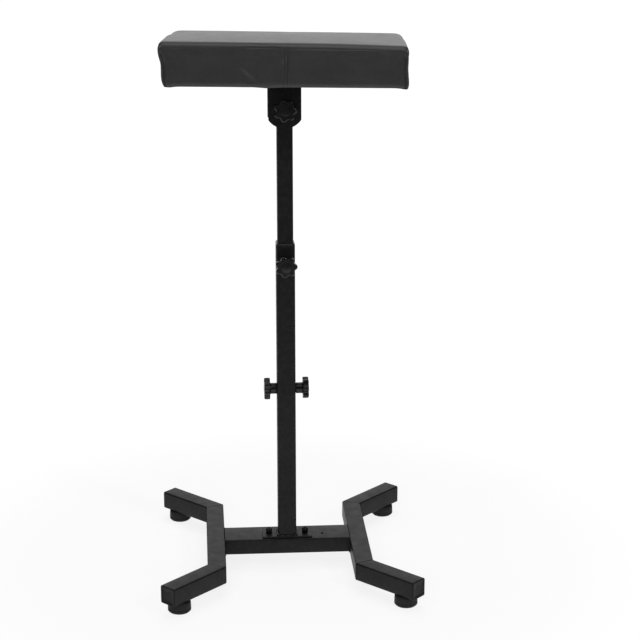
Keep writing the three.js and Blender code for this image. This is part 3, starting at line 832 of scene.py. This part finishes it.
def makePostWeld(seed):
    dims, middle = boxSize("post_tube")
    foot = middle.z - dims.z / 2
    beyond, corner = weldSet["postOutline"]
    outline = roundedOutline(dims.x + beyond, dims.y + beyond, corner, 4)
    path = [(point.x, point.y + middle.y, foot + weldSet["sink"]) for point in outline]
    shapes = [weldShape(path, True, weldSet["radius"] * weldSet["postShare"], seed)]
    for number, side in enumerate((-1, 1), 1):
        # the weld is thicker where it ends, at the front corners
        x, y = side * (dims.x / 2 - weldSet["inset"]), middle.y - dims.y / 2 + weldSet["inset"]
        long, low, high = weldSet["postEnds"]
        path = [(x - side * long, y, foot + low), (x, y, foot + high), (x, y + long, foot + low)]
        shapes.append(weldShape(path, False, weldSet["endRadius"], seed + number))
    addPiece(merge(shapes), "postWeld", "base", weldCoat)


makePostWeld(makeBaseWelds())
print("armrest: welds made")


# Rubber feet
footSet = {
    "sides": 72,
    "profile": (  # radius and height, round the section of the rubber
        (7, 0.25), (7.6, 0), (15.6, 0), (16.1, 0.12), (18.3, 2.35), (18.5, 2.8), (18.5, 6.4), (18.25, 6.8),
        (18.25, 7.2), (18.45, 7.6), (18.2, 14.6), (17.95, 16.6), (17.3, 17.7), (16.4, 18), (3.3, 18),
        (3.3, 9), (6.6, 9), (7, 8.5),
    ),
}


def makeFeet():
    for end in ("front", "rear"):
        for side in ("left", "right"):
            node = end + "_" + side + "_foot"
            dims, middle = boxSize(node)
            shape = turned(footSet["profile"], footSet["sides"])
            stand = moved(middle.x, middle.y, middle.z - dims.z / 2)
            addPiece(shape, end + side.capitalize() + "Foot", "base", blackRubber, [node], stand, 42)


makeFeet()
print("armrest: feet made")


# Star knobs
knobSet = {
    "lobes": 7,
    "stepsPerLobe": 18,
    "radius": 18,
    "lobeDepth": 3.7,
    "lobeFullness": 1.15,  # above 1 the lobes are fuller than the valleys
    "turn": 0.04,  # in radians
    "hubRadius": 9.0,
    "hubLength": 9.9,
    "headThickness": 9.8,
    "faceRise": 0.6,
    "boreRadius": 4.15,
    "boreDepth": 13,
    "backedOff": {"right_clamp_knob": 0.3},
    "skirt": {"tilt_knob": 0.0},  # how far the hub reaches over the boss, elsewhere skirtDepth
    "skirtDepth": 0.9,
    "skirtRadius": 8.0,
    # each row gives a radius, a share of the star form, and a height
    "neck": (  # beyond the hub's radius, above the head's underside
        (0, 0, -1.8), (0.25, 0, -0.9), (0.9, 0, -0.25), (1.9, 0.02, 0), (3.0, 0.15, 0.02),
    ),
    "rim": (  # beyond the lobes' radius, above the head's underside
        (-3, 0.75, 0.1), (-1, 0.97, 0.22), (-0.32, 1, 0.55), (-0.05, 1, 1.2), (0.02, 1, 3.9), (0.06, 1, 4.5),
        (0.02, 1, 5.1),
    ),
    "brow": (  # beyond the lobes' radius, above the head's top
        (-0.06, 1, -1.5), (-0.3, 1, -0.7), (-0.85, 1, -0.22), (-1.7, 0.98, -0.05), (-3, 0.88, 0),
        (-5.2, 0.55, 0),
    ),
    "face": (  # radius, and share of the face's rise
        (10.6, 0.2, 0), (9, 0.04, 0), (8.2, 0, 0.05), (7.5, 0, 0.16), (6.6, 0, 0.42), (5.4, 0, 0.66),
        (3.8, 0, 0.86), (2, 0, 0.97), (0.4, 0, 1),
    ),
    "sleeve": ((4.2, -0.15), (5.2, -0.15), (5.5, 0.15), (5.5, 6), (4.2, 6)),  # steel in the hub's face
}


def knobShape(skirt):
    # stands on its hub's face, its outer face up
    under, bore, hub, full = (knobSet[key] for key in ("hubLength", "boreRadius", "hubRadius", "radius"))
    top = under + knobSet["headThickness"]
    rows = [
        (bore, 0, knobSet["boreDepth"]), (bore, 0, 0.5), (bore + 0.5, 0, 0), (knobSet["skirtRadius"], 0, 0),
        (knobSet["skirtRadius"] + 0.1, 0, -skirt), (hub - 0.4, 0, -skirt), (hub - 0.1, 0, 0.1 - skirt),
        (hub, 0, 0.4 - skirt), (hub, 0, 5.5),
    ]
    parts = (
        ("neck", hub, under, 1), ("rim", full, under, 1), ("brow", full, top, 1),
        ("face", 0, top, knobSet["faceRise"]),
    )
    for part, radius, level, scale in parts:
        rows += [(radius + out, star, level + scale * rise) for out, star, rise in knobSet[part]]
    rings = []
    for radius, star, height in rows:
        ring = []
        for angle in angles(knobSet["lobes"] * knobSet["stepsPerLobe"]):
            dip = 0.5 - 0.5 * cos(knobSet["lobes"] * angle)
            reach = radius - star * knobSet["lobeDepth"] * dip ** knobSet["lobeFullness"]
            ring.append(polar(reach, angle + knobSet["turn"], height) * mm)
        rings.append(ring)
    return loft(rings)


def makeKnob(node, name, body, outward):
    low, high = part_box(node)
    axis = Vector(outward)
    joint = next(joint for joint in frame["joints"] if joint["child"] == body)
    centre = Vector(joint["pos_m"])
    face = min(axis.dot(low), axis.dot(high)) + knobSet["backedOff"].get(node, 0) * mm
    seat = centre + axis * (face - axis.dot(centre))
    stand = Matrix.Translation(seat) @ Vector((0, 0, 1)).rotation_difference(axis).to_matrix().to_4x4()
    shape = knobShape(knobSet["skirt"].get(node, knobSet["skirtDepth"]))
    addPiece(shape, name, body, blackPlastic, [node], stand, 55)
    addPiece(turned(knobSet["sleeve"], 48), name + "Sleeve", body, zincSteel, (), stand, 40)


makeKnob("tilt_knob", "tiltKnob", "tilt_knob", (0, -1, 0))
makeKnob("front_clamp_knob", "frontClampKnob", "front_clamp", (0, -1, 0))
makeKnob("left_clamp_knob", "leftClampKnob", "left_clamp", (-1, 0, 0))
makeKnob("right_clamp_knob", "rightClampKnob", "right_clamp", (1, 0, 0))
print("armrest: knobs made")


# Guide bush in the post's mouth
bushSet = {"outside": 27, "inside": 25.7, "flange": 3, "bevel": 1.7, "sleeve": 20}


def makeGuideBush():
    dims, middle = boxSize("guide_bush")
    size = dims.x
    keys = ("outside", "inside", "flange", "bevel", "sleeve")
    outside, inside, top, bevel, low = (bushSet[key] for key in keys)
    # each row gives the section's width, its corner radius and a height
    rows = (
        (outside, 2, -low), (outside, 2, -0.02), (size - 0.4, 2.5, 0), (size, 2.7, 0.2),
        (size, 2.7, top - bevel), (size - 0.5, 2.7, top - bevel + 0.35),
        (size - 2 * bevel + 0.6, 2.4, top - 0.25), (size - 2 * bevel, 2.3, top),
        (inside + 0.25, 2.4, top), (inside, 2.4, top - 0.15), (inside, 2.4, -low),
    )
    rings = [flatRing(roundedOutline(width, width, radius), level) for width, radius, level in rows]
    stand = moved(middle.x, middle.y, middle.z + dims.z / 2 - top)
    addPiece(loft(rings, closed=True), "guideBush", "base", blackPlastic, ["guide_bush"], stand, 35)


makeGuideBush()


# Tilt bracket: one bent strip with round-bottomed ears
bracketSet = {
    "width": 51.5,
    "thickness": 2.5,
    "bend": 4,
    "earRadius": 31,
    "earSteps": 12,
    "bendSteps": 8,
    "edge": 0.4,
    "boltHole": 4.3,
    "drillLength": 60,
}


def makeBracket():
    dims, middle = boxSize("tilt_bracket")
    pivot = next(joint for joint in frame["joints"] if joint["name"] == "pad_tilt")["pos_m"][2] / mm
    outer, top = dims.y / 2, middle.z + dims.z / 2 - pivot
    bend, radius, half = bracketSet["bend"], bracketSet["earRadius"], bracketSet["width"] / 2
    side = acos(half / radius)
    stations = []  # (y, z, outward y, outward z, half width) along the front half of the strip
    for step in range(bracketSet["earSteps"] + 1):
        angle = pi / 2 - step / bracketSet["earSteps"] * (pi / 2 - side)
        stations.append((-outer, -radius * sin(angle), -1, 0, max(0.8, radius * cos(angle))))
    for step in range(bracketSet["bendSteps"] + 1):
        angle = step / bracketSet["bendSteps"] * pi / 2
        y, z = -outer + bend - bend * cos(angle), top - bend + bend * sin(angle)
        stations.append((y, z, -cos(angle), sin(angle), half))
    stations += [(-y, z, -outY, outZ, width) for y, z, outY, outZ, width in reversed(stations)]
    rings = []
    for y, z, outY, outZ, width in stations:
        left, right = Vector((-width, y, z)), Vector((width, y, z))
        inward = Vector((0, -outY, -outZ)) * bracketSet["thickness"]
        rings.append([left * mm, right * mm, (right + inward) * mm, (left + inward) * mm])
    centre = (middle.x, middle.y, pivot)
    bracket = addPiece(loft(rings), "tiltBracket", "head", powderCoat, ["tilt_bracket"], moved(*centre))
    cutHoles(bracket, (0, 1, 0), bracketSet["drillLength"], [(centre, bracketSet["boltHole"])])
    easeEdges(bracket, bracketSet["edge"], limit=50)


makeBracket()
print("armrest: bush and bracket made")


# Pad
padSet = {
    "length": 381,
    "depth": 152,
    "turn": -6.5,
    "cell": 5.0,
    "finer": 2,  # how often the cells are halved once the cover is filled
    "topHeight": (69.4, 65.3),  # above the underside, at the left end and at the right end
    "lowHeight": (0.0, -1.2),
    "topRadius": 12.0,
    "lowRadius": 1.2,
    "lowCrease": 1.0,
    "frontCorner": 6.0,
    "frontRoll": 8.5,  # how far back the front's top edge starts to turn down
    "backCorner": 19.0,
    "taper": (3.0, 8.0),  # how much shorter each end is at the back
    "crown": 1.4,
    "frontFall": 2.2,  # how much lower the top lies at its front right corner
    "sideDraw": 2.2,
    "drawPower": 0.8,
    "drawLeast": 0.4,  # share of it that is left beside the corners
    "startSmaller": 1.2,
    # ranges over which a form sets in, as shares of the height, of the half length or of the half depth
    "roundRange": (0.2, 0.8),
    "rollRange": (0.75, 0.95),
    "endRange": (0.55, 1),
    "rimAlong": (0.88, 0.98),
    "rimDeep": (0.75, 0.95),
    "drawAlong": (0.85, 0.97),
    "drawDeep": (0.6, 0.9),
    "fadeAlong": (0, 0.3),
    "fadeDeep": (0, 0.12),
    "fallRange": (0.3, 1.05),
    "upRange": (0.2, 0.8),  # of the normal's upward part
    "frames": 20,
    "heldBelow": 0.02,  # share of the height that the board holds
    "cloth": {
        "quality": 6,
        "mass": 0.3,
        "tension_stiffness": 18,
        "compression_stiffness": 18,
        "shear_stiffness": 10,
        "bending_stiffness": 3,
        "use_pressure": True,
        "uniform_pressure_force": 4.0,
    },
    "mostOut": 2.8,
    "give": 4.0,
    "topRate": 0.05,  # how much of the air's lift the flat top of the foam follows
    "mostIn": 0.4,
    "mostAlong": 0.6,
    "thickness": 1.2,
    "opening": (306, 100),
    "droops": ((-176, 9, 1.3), (-26, 14, 1.4), (186, 10, 1.9)),  # from the middle, width and depth
    "droopReach": (14, 16, 2),  # up, and between these distances behind the front
    # how far each end lies inside the full length, as (height, distance) from the underside up
    "leftEnd": (
        (0, 3.8), (8, 1.6), (12, 0.8), (26, 0.6), (35, 0.2), (40, -1.2), (44, -2.5), (49, -3.4), (53, -4),
        (58, -4.2), (64, -3.6),
    ),
    "rightEnd": (
        (0, -0.2), (9, -0.2), (14, 0), (18, 0.5), (27, 1.3), (32, 1.2), (41, 0.4), (45, 0.2), (50, 0.4),
        (54, -0.4), (64, -0.2),
    ),
}


def padMatrix():
    middle = boxSize("pad_mount_plate")[1]
    return moved(middle.x, middle.y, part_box("pad_cover")[0].z / mm) @ swung(padSet["turn"], "Z")


def smooth(value, low=0.0, high=1.0):
    share = np.clip((value - low) / (high - low), 0, 1)
    return share * share * (3 - 2 * share)


def ranged(key, value):
    return smooth(value, *padSet[key])


def bell(distance, width):
    return np.exp(-(distance / width) ** 2)


def across(key, x):
    # a value that goes from the left end's to the right end's
    left, right = padSet[key]
    return left + (right - left) * (x / padSet["length"] + 0.5)


def endInsets(level):
    return [np.interp(level, *np.array(padSet[key]).T) for key in ("leftEnd", "rightEnd")]


def boxGrid(counts):
    # the surface of a grid of cells, as corners in shares of the box and as faces
    index, faces = {}, []
    for axis in range(3):
        first, second = [other for other in range(3) if other != axis]
        for end in (0, counts[axis]):
            for a in range(counts[first]):
                for b in range(counts[second]):
                    quad = []
                    for stepA, stepB in ((a, b), (a + 1, b), (a + 1, b + 1), (a, b + 1)):
                        steps = [0, 0, 0]
                        steps[axis], steps[first], steps[second] = end, stepA, stepB
                        quad.append(index.setdefault(tuple(steps), len(index)))
                    faces.append(quad)
    return np.array(list(index)) / counts, faces


def roundOff(places, limits, radii):
    # moves each point from the square corner onto the round one
    over = [np.clip((place - limit) / radius, 0, None) for place, limit, radius in zip(places, limits, radii)]
    length = np.linalg.norm(over, axis=0)
    scale = np.where(length > 0, np.max(over, axis=0) / np.maximum(length, 1e-9), 1)
    return [np.where(past > 0, limit + radius * past * scale, place)
            for past, place, limit, radius in zip(over, places, limits, radii)]


def padStart():
    # the cover before it is filled, in the pad's own frame in millimetres
    half = np.array([padSet["length"], padSet["depth"]]) / 2
    high = padSet["topHeight"][0]
    counts = [round(side / padSet["cell"] / 2) * 2 for side in (*(2 * half), high)]
    shares, faces = boxGrid(counts)
    x, y = (2 * shares[:, 0] - 1) * half[0], (2 * shares[:, 1] - 1) * half[1]
    up = shares[:, 2]
    z = up * high
    atBack = smooth(y / half[1], -1, 1)
    flat = padSet["frontCorner"] + (padSet["backCorner"] - padSet["frontCorner"]) * smooth(y, 0, half[1] / 2)
    tall = padSet["lowRadius"] + (padSet["topRadius"] - padSet["lowRadius"]) * ranged("roundRange", up)
    deep = flat + (padSet["frontRoll"] - padSet["frontCorner"]) * ranged("rollRange", up) * (y < 0)
    places = (np.abs(x), np.abs(y), np.abs(z - high / 2))
    rounded = roundOff(places, (half[0] - flat, half[1] - deep, high / 2 - tall), (flat, deep, tall))
    x, y, z = np.sign(x) * rounded[0], np.sign(y) * rounded[1], high / 2 + np.sign(z - high / 2) * rounded[2]
    # the ends' outline, the taper toward the back and the slope of top and underside
    left, right = endInsets(z)
    toLeft, toRight = ranged("endRange", -x / half[0]), ranged("endRange", x / half[0])
    x = x + toLeft * (left + padSet["taper"][0] * atBack) - toRight * (right + padSet["taper"][1] * atBack)
    shareUp = z / high
    bottom, top = across("lowHeight", x), across("topHeight", x)
    rim = np.maximum(ranged("rimAlong", np.abs(x) / half[0]), ranged("rimDeep", np.abs(y) / half[1]))
    bottom = bottom * np.where(up < 0.5, rim, 1)
    z = bottom + (top - bottom) * shareUp
    # crown, and sides drawn in between the corners
    alongX, alongY = np.clip(1 - (x / half[0]) ** 2, 0, 1), np.clip(1 - (y / half[1]) ** 2, 0, 1)
    belly = padSet["sideDraw"] * np.sin(pi * np.clip(shareUp, 0, 1)) ** padSet["drawPower"]
    least, less = padSet["drawLeast"], padSet["startSmaller"]
    drawX = belly * (least + (1 - least) * alongY) * ranged("fadeAlong", alongY) + less
    drawY = belly * (least + (1 - least) * alongX) * ranged("fadeDeep", alongX) + less
    x = x - np.sign(x) * drawX * ranged("drawAlong", np.abs(x) / half[0])
    y = y - np.sign(y) * drawY * ranged("drawDeep", np.abs(y) / half[1])
    fall = padSet["frontFall"] * ranged("fallRange", x / half[0]) * smooth(-y / half[1], -1, 1)
    z = z + (padSet["crown"] * alongX * alongY - less - fall) * smooth(shareUp, 0.5, 1)
    return np.stack([x, y, z], 1), faces, up


def meshFrom(name, points, faces):
    mesh = bpy.data.meshes.new(name)
    mesh.from_pydata([tuple(point) for point in points], [], faces)
    shape = bmesh.new()
    shape.from_mesh(mesh)
    bmesh.ops.recalc_face_normals(shape, faces=shape.faces)
    shape.to_mesh(mesh)
    shape.free()
    return mesh


def readPoints(mesh, name="co"):
    flat = np.zeros(len(mesh.vertices) * 3)
    mesh.vertices.foreach_get(name, flat)
    return flat.reshape(-1, 3)


def setPoints(mesh, points):
    mesh.vertices.foreach_set("co", points.ravel())
    mesh.update()


def inflate(cover, up):
    # fills the cover with air as cloth, with the underside held, then lets the foam stop it
    start, normals = readPoints(cover.data), readPoints(cover.data, "normal")
    group = cover.vertex_groups.new(name="held")
    group.add([int(index) for index in np.flatnonzero(up < padSet["heldBelow"])], 1.0, "REPLACE")
    cloth = cover.modifiers.new("air", "CLOTH")
    assign(cloth.settings, vertex_group_mass="held", **padSet["cloth"])
    cloth.settings.effector_weights.gravity = 0
    for number in range(1, padSet["frames"] + 1):
        bpy.context.scene.frame_set(number)
    blown = readPoints(cover.evaluated_get(bpy.context.evaluated_depsgraph_get()).data)
    cover.modifiers.remove(cloth)
    cover.vertex_groups.remove(group)
    bpy.context.scene.frame_set(1)
    move = (blown - start) / mm
    out = (move * normals).sum(axis=1, keepdims=True)
    along = move - out * normals
    out *= 1 + (padSet["topRate"] - 1) * ranged("upRange", normals[:, 2:])
    size = np.linalg.norm(along, axis=1, keepdims=True)
    along *= np.minimum(1, padSet["mostAlong"] / np.maximum(size, 1e-9))
    stopped = padSet["mostOut"] * np.tanh(out / padSet["give"])
    out = np.where(out > 0, stopped, np.maximum(out, -padSet["mostIn"]))
    out *= np.sin(pi * np.clip(up, 0, 0.5))[:, None]
    setPoints(cover.data, start + (out * normals + along) * mm)
    print("armrest: cover moved by", round(float(out.mean()), 2), "to", round(float(out.max()), 2), "mm")


def creaseRim(mesh, low):
    # keeps the lower rim sharp, where the underside meets the sides
    sides = collections.Counter()
    for face in mesh.polygons:
        if all(low[index] for index in face.vertices):
            sides.update(face.edge_keys)
    crease = mesh.attributes.new("crease_edge", "FLOAT", "EDGE")
    for edge, value in zip(mesh.edges, crease.data):
        value.value = padSet["lowCrease"] if sides[edge.key] == 1 else 0


def makePadCover():
    points, faces, up = padStart()
    cover = link("padCover", meshFrom("padCover", points * mm, faces))
    inflate(cover, up)
    creaseRim(cover.data, up < padSet["heldBelow"])
    print("armrest: cover filled,", len(points), "points")
    assign(cover.modifiers.new("finer", "SUBSURF"), levels=padSet["finer"], render_levels=padSet["finer"])
    return keepResult(cover)


seamSet = {
    "foldAt": 0.1,  # the middle seam's fold and its row of stitches, from the pad's middle
    "stitchAt": 5.0,
    "grooveDepth": 1.2,
    "grooveWidth": 1.2,
    "foldDepth": 1.6,
    "foldWidth": 1.2,
    "foldLip": (2.4, 0.25),  # how far beside the fold, and how much it stands out
    "fullHeight": 66,  # the heights below are on a pad of this height
    "topSeam": 58.6,
    "topSeamDepth": 0.2,
    "topSeamWidth": 1.3,
    "lipFlat": 1.1,  # how much the rolled front top edge is pressed flat
    "lipAt": (0.92, 0.4),  # its slope in radians, and how far the flat spreads
    "cornerRoll": 0.6,
    "cornerSpread": 0.24,
    "cornerSeam": (5.4, 3.0, 1.3),  # inside each end, depth and width
    "cornerSeamEnd": (44, 56),  # where it fades upward
    # how far a face turns forward, or away from level, where a form sets in and where it is full
    "sideRange": (0.25, 0.75),
    "seamRange": (0.3, 0.8),
    "ridgeRange": (0.05, 0.5),
    "lipRange": (0.1, 0.4),
    "cornerRange": (0.2, 0.6),
    "creaseRange": (0.1, 0.5),
    "creaseEnds": (-0.12, 0.3),  # share of a crease's length
    "creaseLip": (0.4, 2.6),  # depth and width of the soft swelling beside it
    "seamFade": 1.5,  # below the top seam
    "stitchPitch": 4.2,
    "stitchLength": 3.1,
    "stitchRadius": 0.36,
    "stitchDip": 0.55,  # how far its ends sink in, as a share of its radius
    "stitchLift": 0.12,
    "stitchStart": 4.5,
    "stitchStop": 6,  # below the top seam
}

creaseSet = (
    # on the front face: where it starts and ends, from the middle and in height, then depth, width
    # and how many times wider it runs out below
    ((-60, 59.0), (-3, 58.2), 1.6, 1.5, 2),
    ((-54, 63.6), (-24, 61.6), 1.2, 1.5, 1),
    ((-50, 53.2), (-4, 54.2), 0.8, 1.8, 1),
    ((2, 55.6), (90, 55.0), 1.5, 1.6, 5),
    ((76, 55.2), (178, 55.0), 1.5, 1.6, 5),
    ((-178, 54.5), (-150, 55.5), 1.2, 1.6, 4),
    ((-82, 40), (-46, 6), 1.6, 5.2, 1),
    ((60, 22), (100, 7), 0.3, 5, 1),
)


def creaseDepth(crease, x, level):
    (startX, startUp), (endX, endUp), depth, width, below = crease
    start, along = np.array([startX, startUp]), np.array([endX - startX, endUp - startUp])
    place = np.stack([x, level], axis=1) - start
    share = place @ along / (along @ along)
    off = (place[:, 1] * along[0] - place[:, 0] * along[1]) / np.linalg.norm(along)
    off = np.where(off > 0, off, -off / below)
    ends = smooth(share, *seamSet["creaseEnds"]) * smooth(1 - share, *seamSet["creaseEnds"])
    lip, wider = seamSet["creaseLip"]
    return depth * (bell(off, width) - lip / below * bell(off, wider * width)) * ends


def sewCover(cover):
    # presses the seams and folds into the filled cover
    mesh = cover.data
    points, normals = readPoints(mesh) / mm, readPoints(mesh, "normal")
    x, y, z = points.T
    bottom, top = across("lowHeight", x), across("topHeight", x)
    level = (z - bottom) / (top - bottom) * seamSet["fullHeight"]
    upright, ahead = 1 - np.abs(normals[:, 2]), -normals[:, 1]
    side = smooth(upright, *seamSet["sideRange"])
    # the middle seam, front and back
    fold = x - seamSet["foldAt"]
    aside, share = seamSet["foldLip"]
    seam = seamSet["grooveDepth"] * bell(x - seamSet["stitchAt"], seamSet["grooveWidth"])
    seam += seamSet["foldDepth"] * bell(fold, seamSet["foldWidth"])
    seam -= share * bell(fold - aside, seamSet["foldWidth"])
    faces = smooth(ahead, *seamSet["seamRange"]) + smooth(-ahead, *seamSet["seamRange"])
    inward = faces * smooth(seamSet["topSeam"] + seamSet["seamFade"] - level, 0, seamSet["seamFade"]) * seam
    # the top seam and the rolled front top edge
    ridge = bell(level - seamSet["topSeam"], seamSet["topSeamWidth"])
    inward += smooth(upright, *seamSet["ridgeRange"]) * seamSet["topSeamDepth"] * ridge
    rise, (lipAt, lipSpread) = np.arctan2(normals[:, 2], ahead), seamSet["lipAt"]
    inward += seamSet["lipFlat"] * bell(rise - lipAt, lipSpread) * smooth(ahead, *seamSet["lipRange"])
    # the rolled corner seams
    turn = np.abs(np.abs(np.arctan2(np.abs(ahead), np.abs(normals[:, 0]))) - pi / 4)
    inward -= side * seamSet["cornerRoll"] * bell(turn, seamSet["cornerSpread"])
    seamInset, seamDepth, seamWidth = seamSet["cornerSeam"]
    within = padSet["length"] / 2 - np.abs(x) - np.where(x < 0, *endInsets(level)) - padSet["startSmaller"]
    lowest, highest = seamSet["cornerSeamEnd"]
    lower = smooth(highest - level, 0, highest - lowest)
    facing = smooth(ahead, *seamSet["cornerRange"]) * side
    inward += lower * facing * seamDepth * bell(within - seamInset, seamWidth)
    for crease in creaseSet:
        inward += smooth(ahead, *seamSet["creaseRange"]) * creaseDepth(crease, x, level)
    points = points - normals * inward[:, None]
    # the cover hangs a little lower at the front corners
    high, farthest, nearest = padSet["droopReach"]
    low = smooth(high - level, 0, high) * smooth(-y - padSet["depth"] / 2, -farthest, -nearest)
    for place, width, drop in padSet["droops"]:
        points[:, 2] -= low * drop * bell(x - place, width)
    setPoints(mesh, points * mm)


def openUnderside(cover):
    # the wrapped cover leaves the board bare, then gets its thickness
    length, depth = padSet["opening"]
    shape = bmesh.new()
    shape.from_mesh(cover.data)
    middles = [(face, face.calc_center_median() / mm) for face in shape.faces]
    bare = [face for face, (x, y, z) in middles if z < 3 and abs(x) < length / 2 and abs(y) < depth / 2]
    bmesh.ops.delete(shape, geom=bare, context="FACES")
    shape.to_mesh(cover.data)
    shape.free()
    assign(cover.modifiers.new("skin", "SOLIDIFY"), thickness=padSet["thickness"] * mm, offset=-1)
    keepResult(cover)


def stitchShape():
    radius, half = seamSet["stitchRadius"], seamSet["stitchLength"] / 2
    rows = []
    for share in (-1, -0.86, -0.5, 0, 0.5, 0.86, 1):
        reach = radius * sqrt(max(0.05, 1 - share ** 4))
        dip = Vector((0, -seamSet["stitchDip"] * radius * share * share, 0))
        rows.append([polar(reach, angle, half * share) + dip for angle in angles(8)])
    return loft(rows)


def makeStitches(tree):
    # each stitch lies where a line from outside meets the cover, front and back
    pitch = seamSet["stitchPitch"]
    shapes = []
    for face in (-1, 1):
        for index in range(int((seamSet["topSeam"] - seamSet["stitchStop"]) / pitch)):
            height = seamSet["stitchStart"] + index * pitch
            start = Vector((seamSet["stitchAt"], face * padSet["depth"], height))
            point, out, _, _ = tree.ray_cast(start * mm, Vector((0, -face, 0)))
            if point is not None:
                along = (Vector((0, 0, 1)) - out * out.z).normalized()
                facing = Matrix((out.cross(along).normalized(), out, along)).transposed().to_4x4()
                shape = stitchShape()
                shape.transform(Matrix.Translation(point / mm + out * seamSet["stitchLift"]) @ facing)
                shapes.append(shape)
    return merge(shapes)


stapleSet = {
    "crown": 11,
    "wire": 0.65,
    "leg": 4,
    "bend": 0.6,
    "pitch": (30, 24),  # along the pad and across it
    "start": (12, 14),
    "inset": 7,
    "lift": 0.35,
    "skew": 9,
    "seed": 5,
}


def makeStaples():
    # round the opening of the cover, through the wrapped edge into the board
    chance = random.Random(stapleSet["seed"])
    length, depth = (size / 2 + stapleSet["inset"] for size in padSet["opening"])
    places = []
    (pitchX, pitchY), (startX, startY) = stapleSet["pitch"], stapleSet["start"]
    for x in np.arange(startX - length, length - startX + 1, pitchX):
        places += [(float(x), side * depth, 0) for side in (-1, 1)]
    for y in np.arange(startY - depth, depth - startY + 1, pitchY):
        places += [(side * length, float(y), 90) for side in (-1, 1)]
    half, wire, leg, bend = stapleSet["crown"] / 2, stapleSet["wire"] / 2, stapleSet["leg"], stapleSet["bend"]
    path = [(-half, leg), (-half, bend), (-half + bend, 0), (half - bend, 0), (half, bend), (half, leg)]
    shapes = []
    for x, y, angle in places:
        rings = []
        for along, rise in path:
            # the section stands on edge along the crown and lies flat along the legs
            spread = [(0, b, a) if rise == 0 else (a, b, 0) for a, b in ((-1, -1), (1, -1), (1, 1), (-1, 1))]
            rings.append([Vector((along + wire * a, wire * b, rise + wire * c)) for a, b, c in spread])
        shape = loft(rings)
        turn = swung(angle + chance.uniform(-stapleSet["skew"], stapleSet["skew"]), "Z")
        shape.transform(Matrix.Translation((x, y, -stapleSet["lift"])) @ turn)
        shapes.append(shape)
    return merge(shapes)


foamSizeSet = {"gap": 1.0, "boardGap": 0.3, "fineness": 0.06}


def foamFrom(cover):
    # the foam fills the cover above the board
    coarse = link("coarse", cover.data.copy())
    coarse.modifiers.new("fewer", "DECIMATE").ratio = foamSizeSet["fineness"]
    keepResult(coarse)
    inset = readPoints(coarse.data, "normal") * (padSet["thickness"] + foamSizeSet["gap"])
    points = readPoints(coarse.data) / mm - inset
    boardTop = (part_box("pad_board")[1].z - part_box("pad_cover")[0].z) / mm + foamSizeSet["boardGap"]
    points[:, 2] = np.maximum(points[:, 2], boardTop)
    faces = [list(face.vertices) for face in coarse.data.polygons]
    bpy.data.objects.remove(coarse)
    return link("foamCore", meshFrom("foamCore", points * mm, faces))


def ridePad(piece, material, node):
    piece.data.transform(padStand)
    dress(piece, "head", material, [node])


padStand = padMatrix()
padCover = makePadCover()
sewCover(padCover)
padStitches = makeStitches(BVHTree.FromObject(padCover, bpy.context.evaluated_depsgraph_get()))
foamCore = foamFrom(padCover)
openUnderside(padCover)
ridePad(padCover, leatherette, "pad_cover")
ridePad(foamCore, padFoam, "pad_foam")
inMetres = Matrix.Scale(mm, 4)
addPiece(padStitches, "padStitches", "head", blackThread, (), padStand @ inMetres)
addPiece(makeStaples(), "padStaples", "head", zincSteel, (), padStand @ inMetres, 40)
print("armrest: pad sewn")


# CAD pieces that show as they are, with their own finish
footNames = [end + "_" + side + "_foot_" for end in ("front", "rear") for side in ("left", "right")]
shownNodes = (
    (zincSteel, ["front_clamp_stud", "left_clamp_stud", "right_clamp_stud", "pivot_bolt",
                 "front_pivot_washer", "rear_pivot_washer", "left_post_nut", "right_post_nut"]
     + ["pad_screw_" + str(number) for number in range(1, 5)]
     + [foot + kind for foot in footNames for kind in ("screw", "nut")]),
    (blackSteel, ["front_clamp_boss", "left_clamp_boss", "right_clamp_boss"]),
    (blackPlastic, ["mast_guide_plug", "mast_top_cap", "front_friction_washer", "rear_friction_washer"]),
    (powderCoat, ["pad_mount_plate"]),
    (plywood, ["pad_board"]),
)
# how close points and faces are that are joined, and the width of the eased edges
shownSet = {"points": 0.002, "faces": 1, "edge": 0.2}


def dressNode(node, material):
    node.data.materials.clear()
    node.data.materials.append(material)
    node.modifiers.new("joined", "WELD").merge_threshold = shownSet["points"] * mm
    flat = node.modifiers.new("flatFaces", "DECIMATE")
    assign(flat, decimate_type="DISSOLVE", angle_limit=radians(shownSet["faces"]))
    easeEdges(node, shownSet["edge"], limit=50)


for shownMaterial, shownNames in shownNodes:
    for shownName in shownNames:
        dressNode(frame["nodes"][shownName], shownMaterial)
print("armrest: CAD pieces dressed")

print("armrest: done")
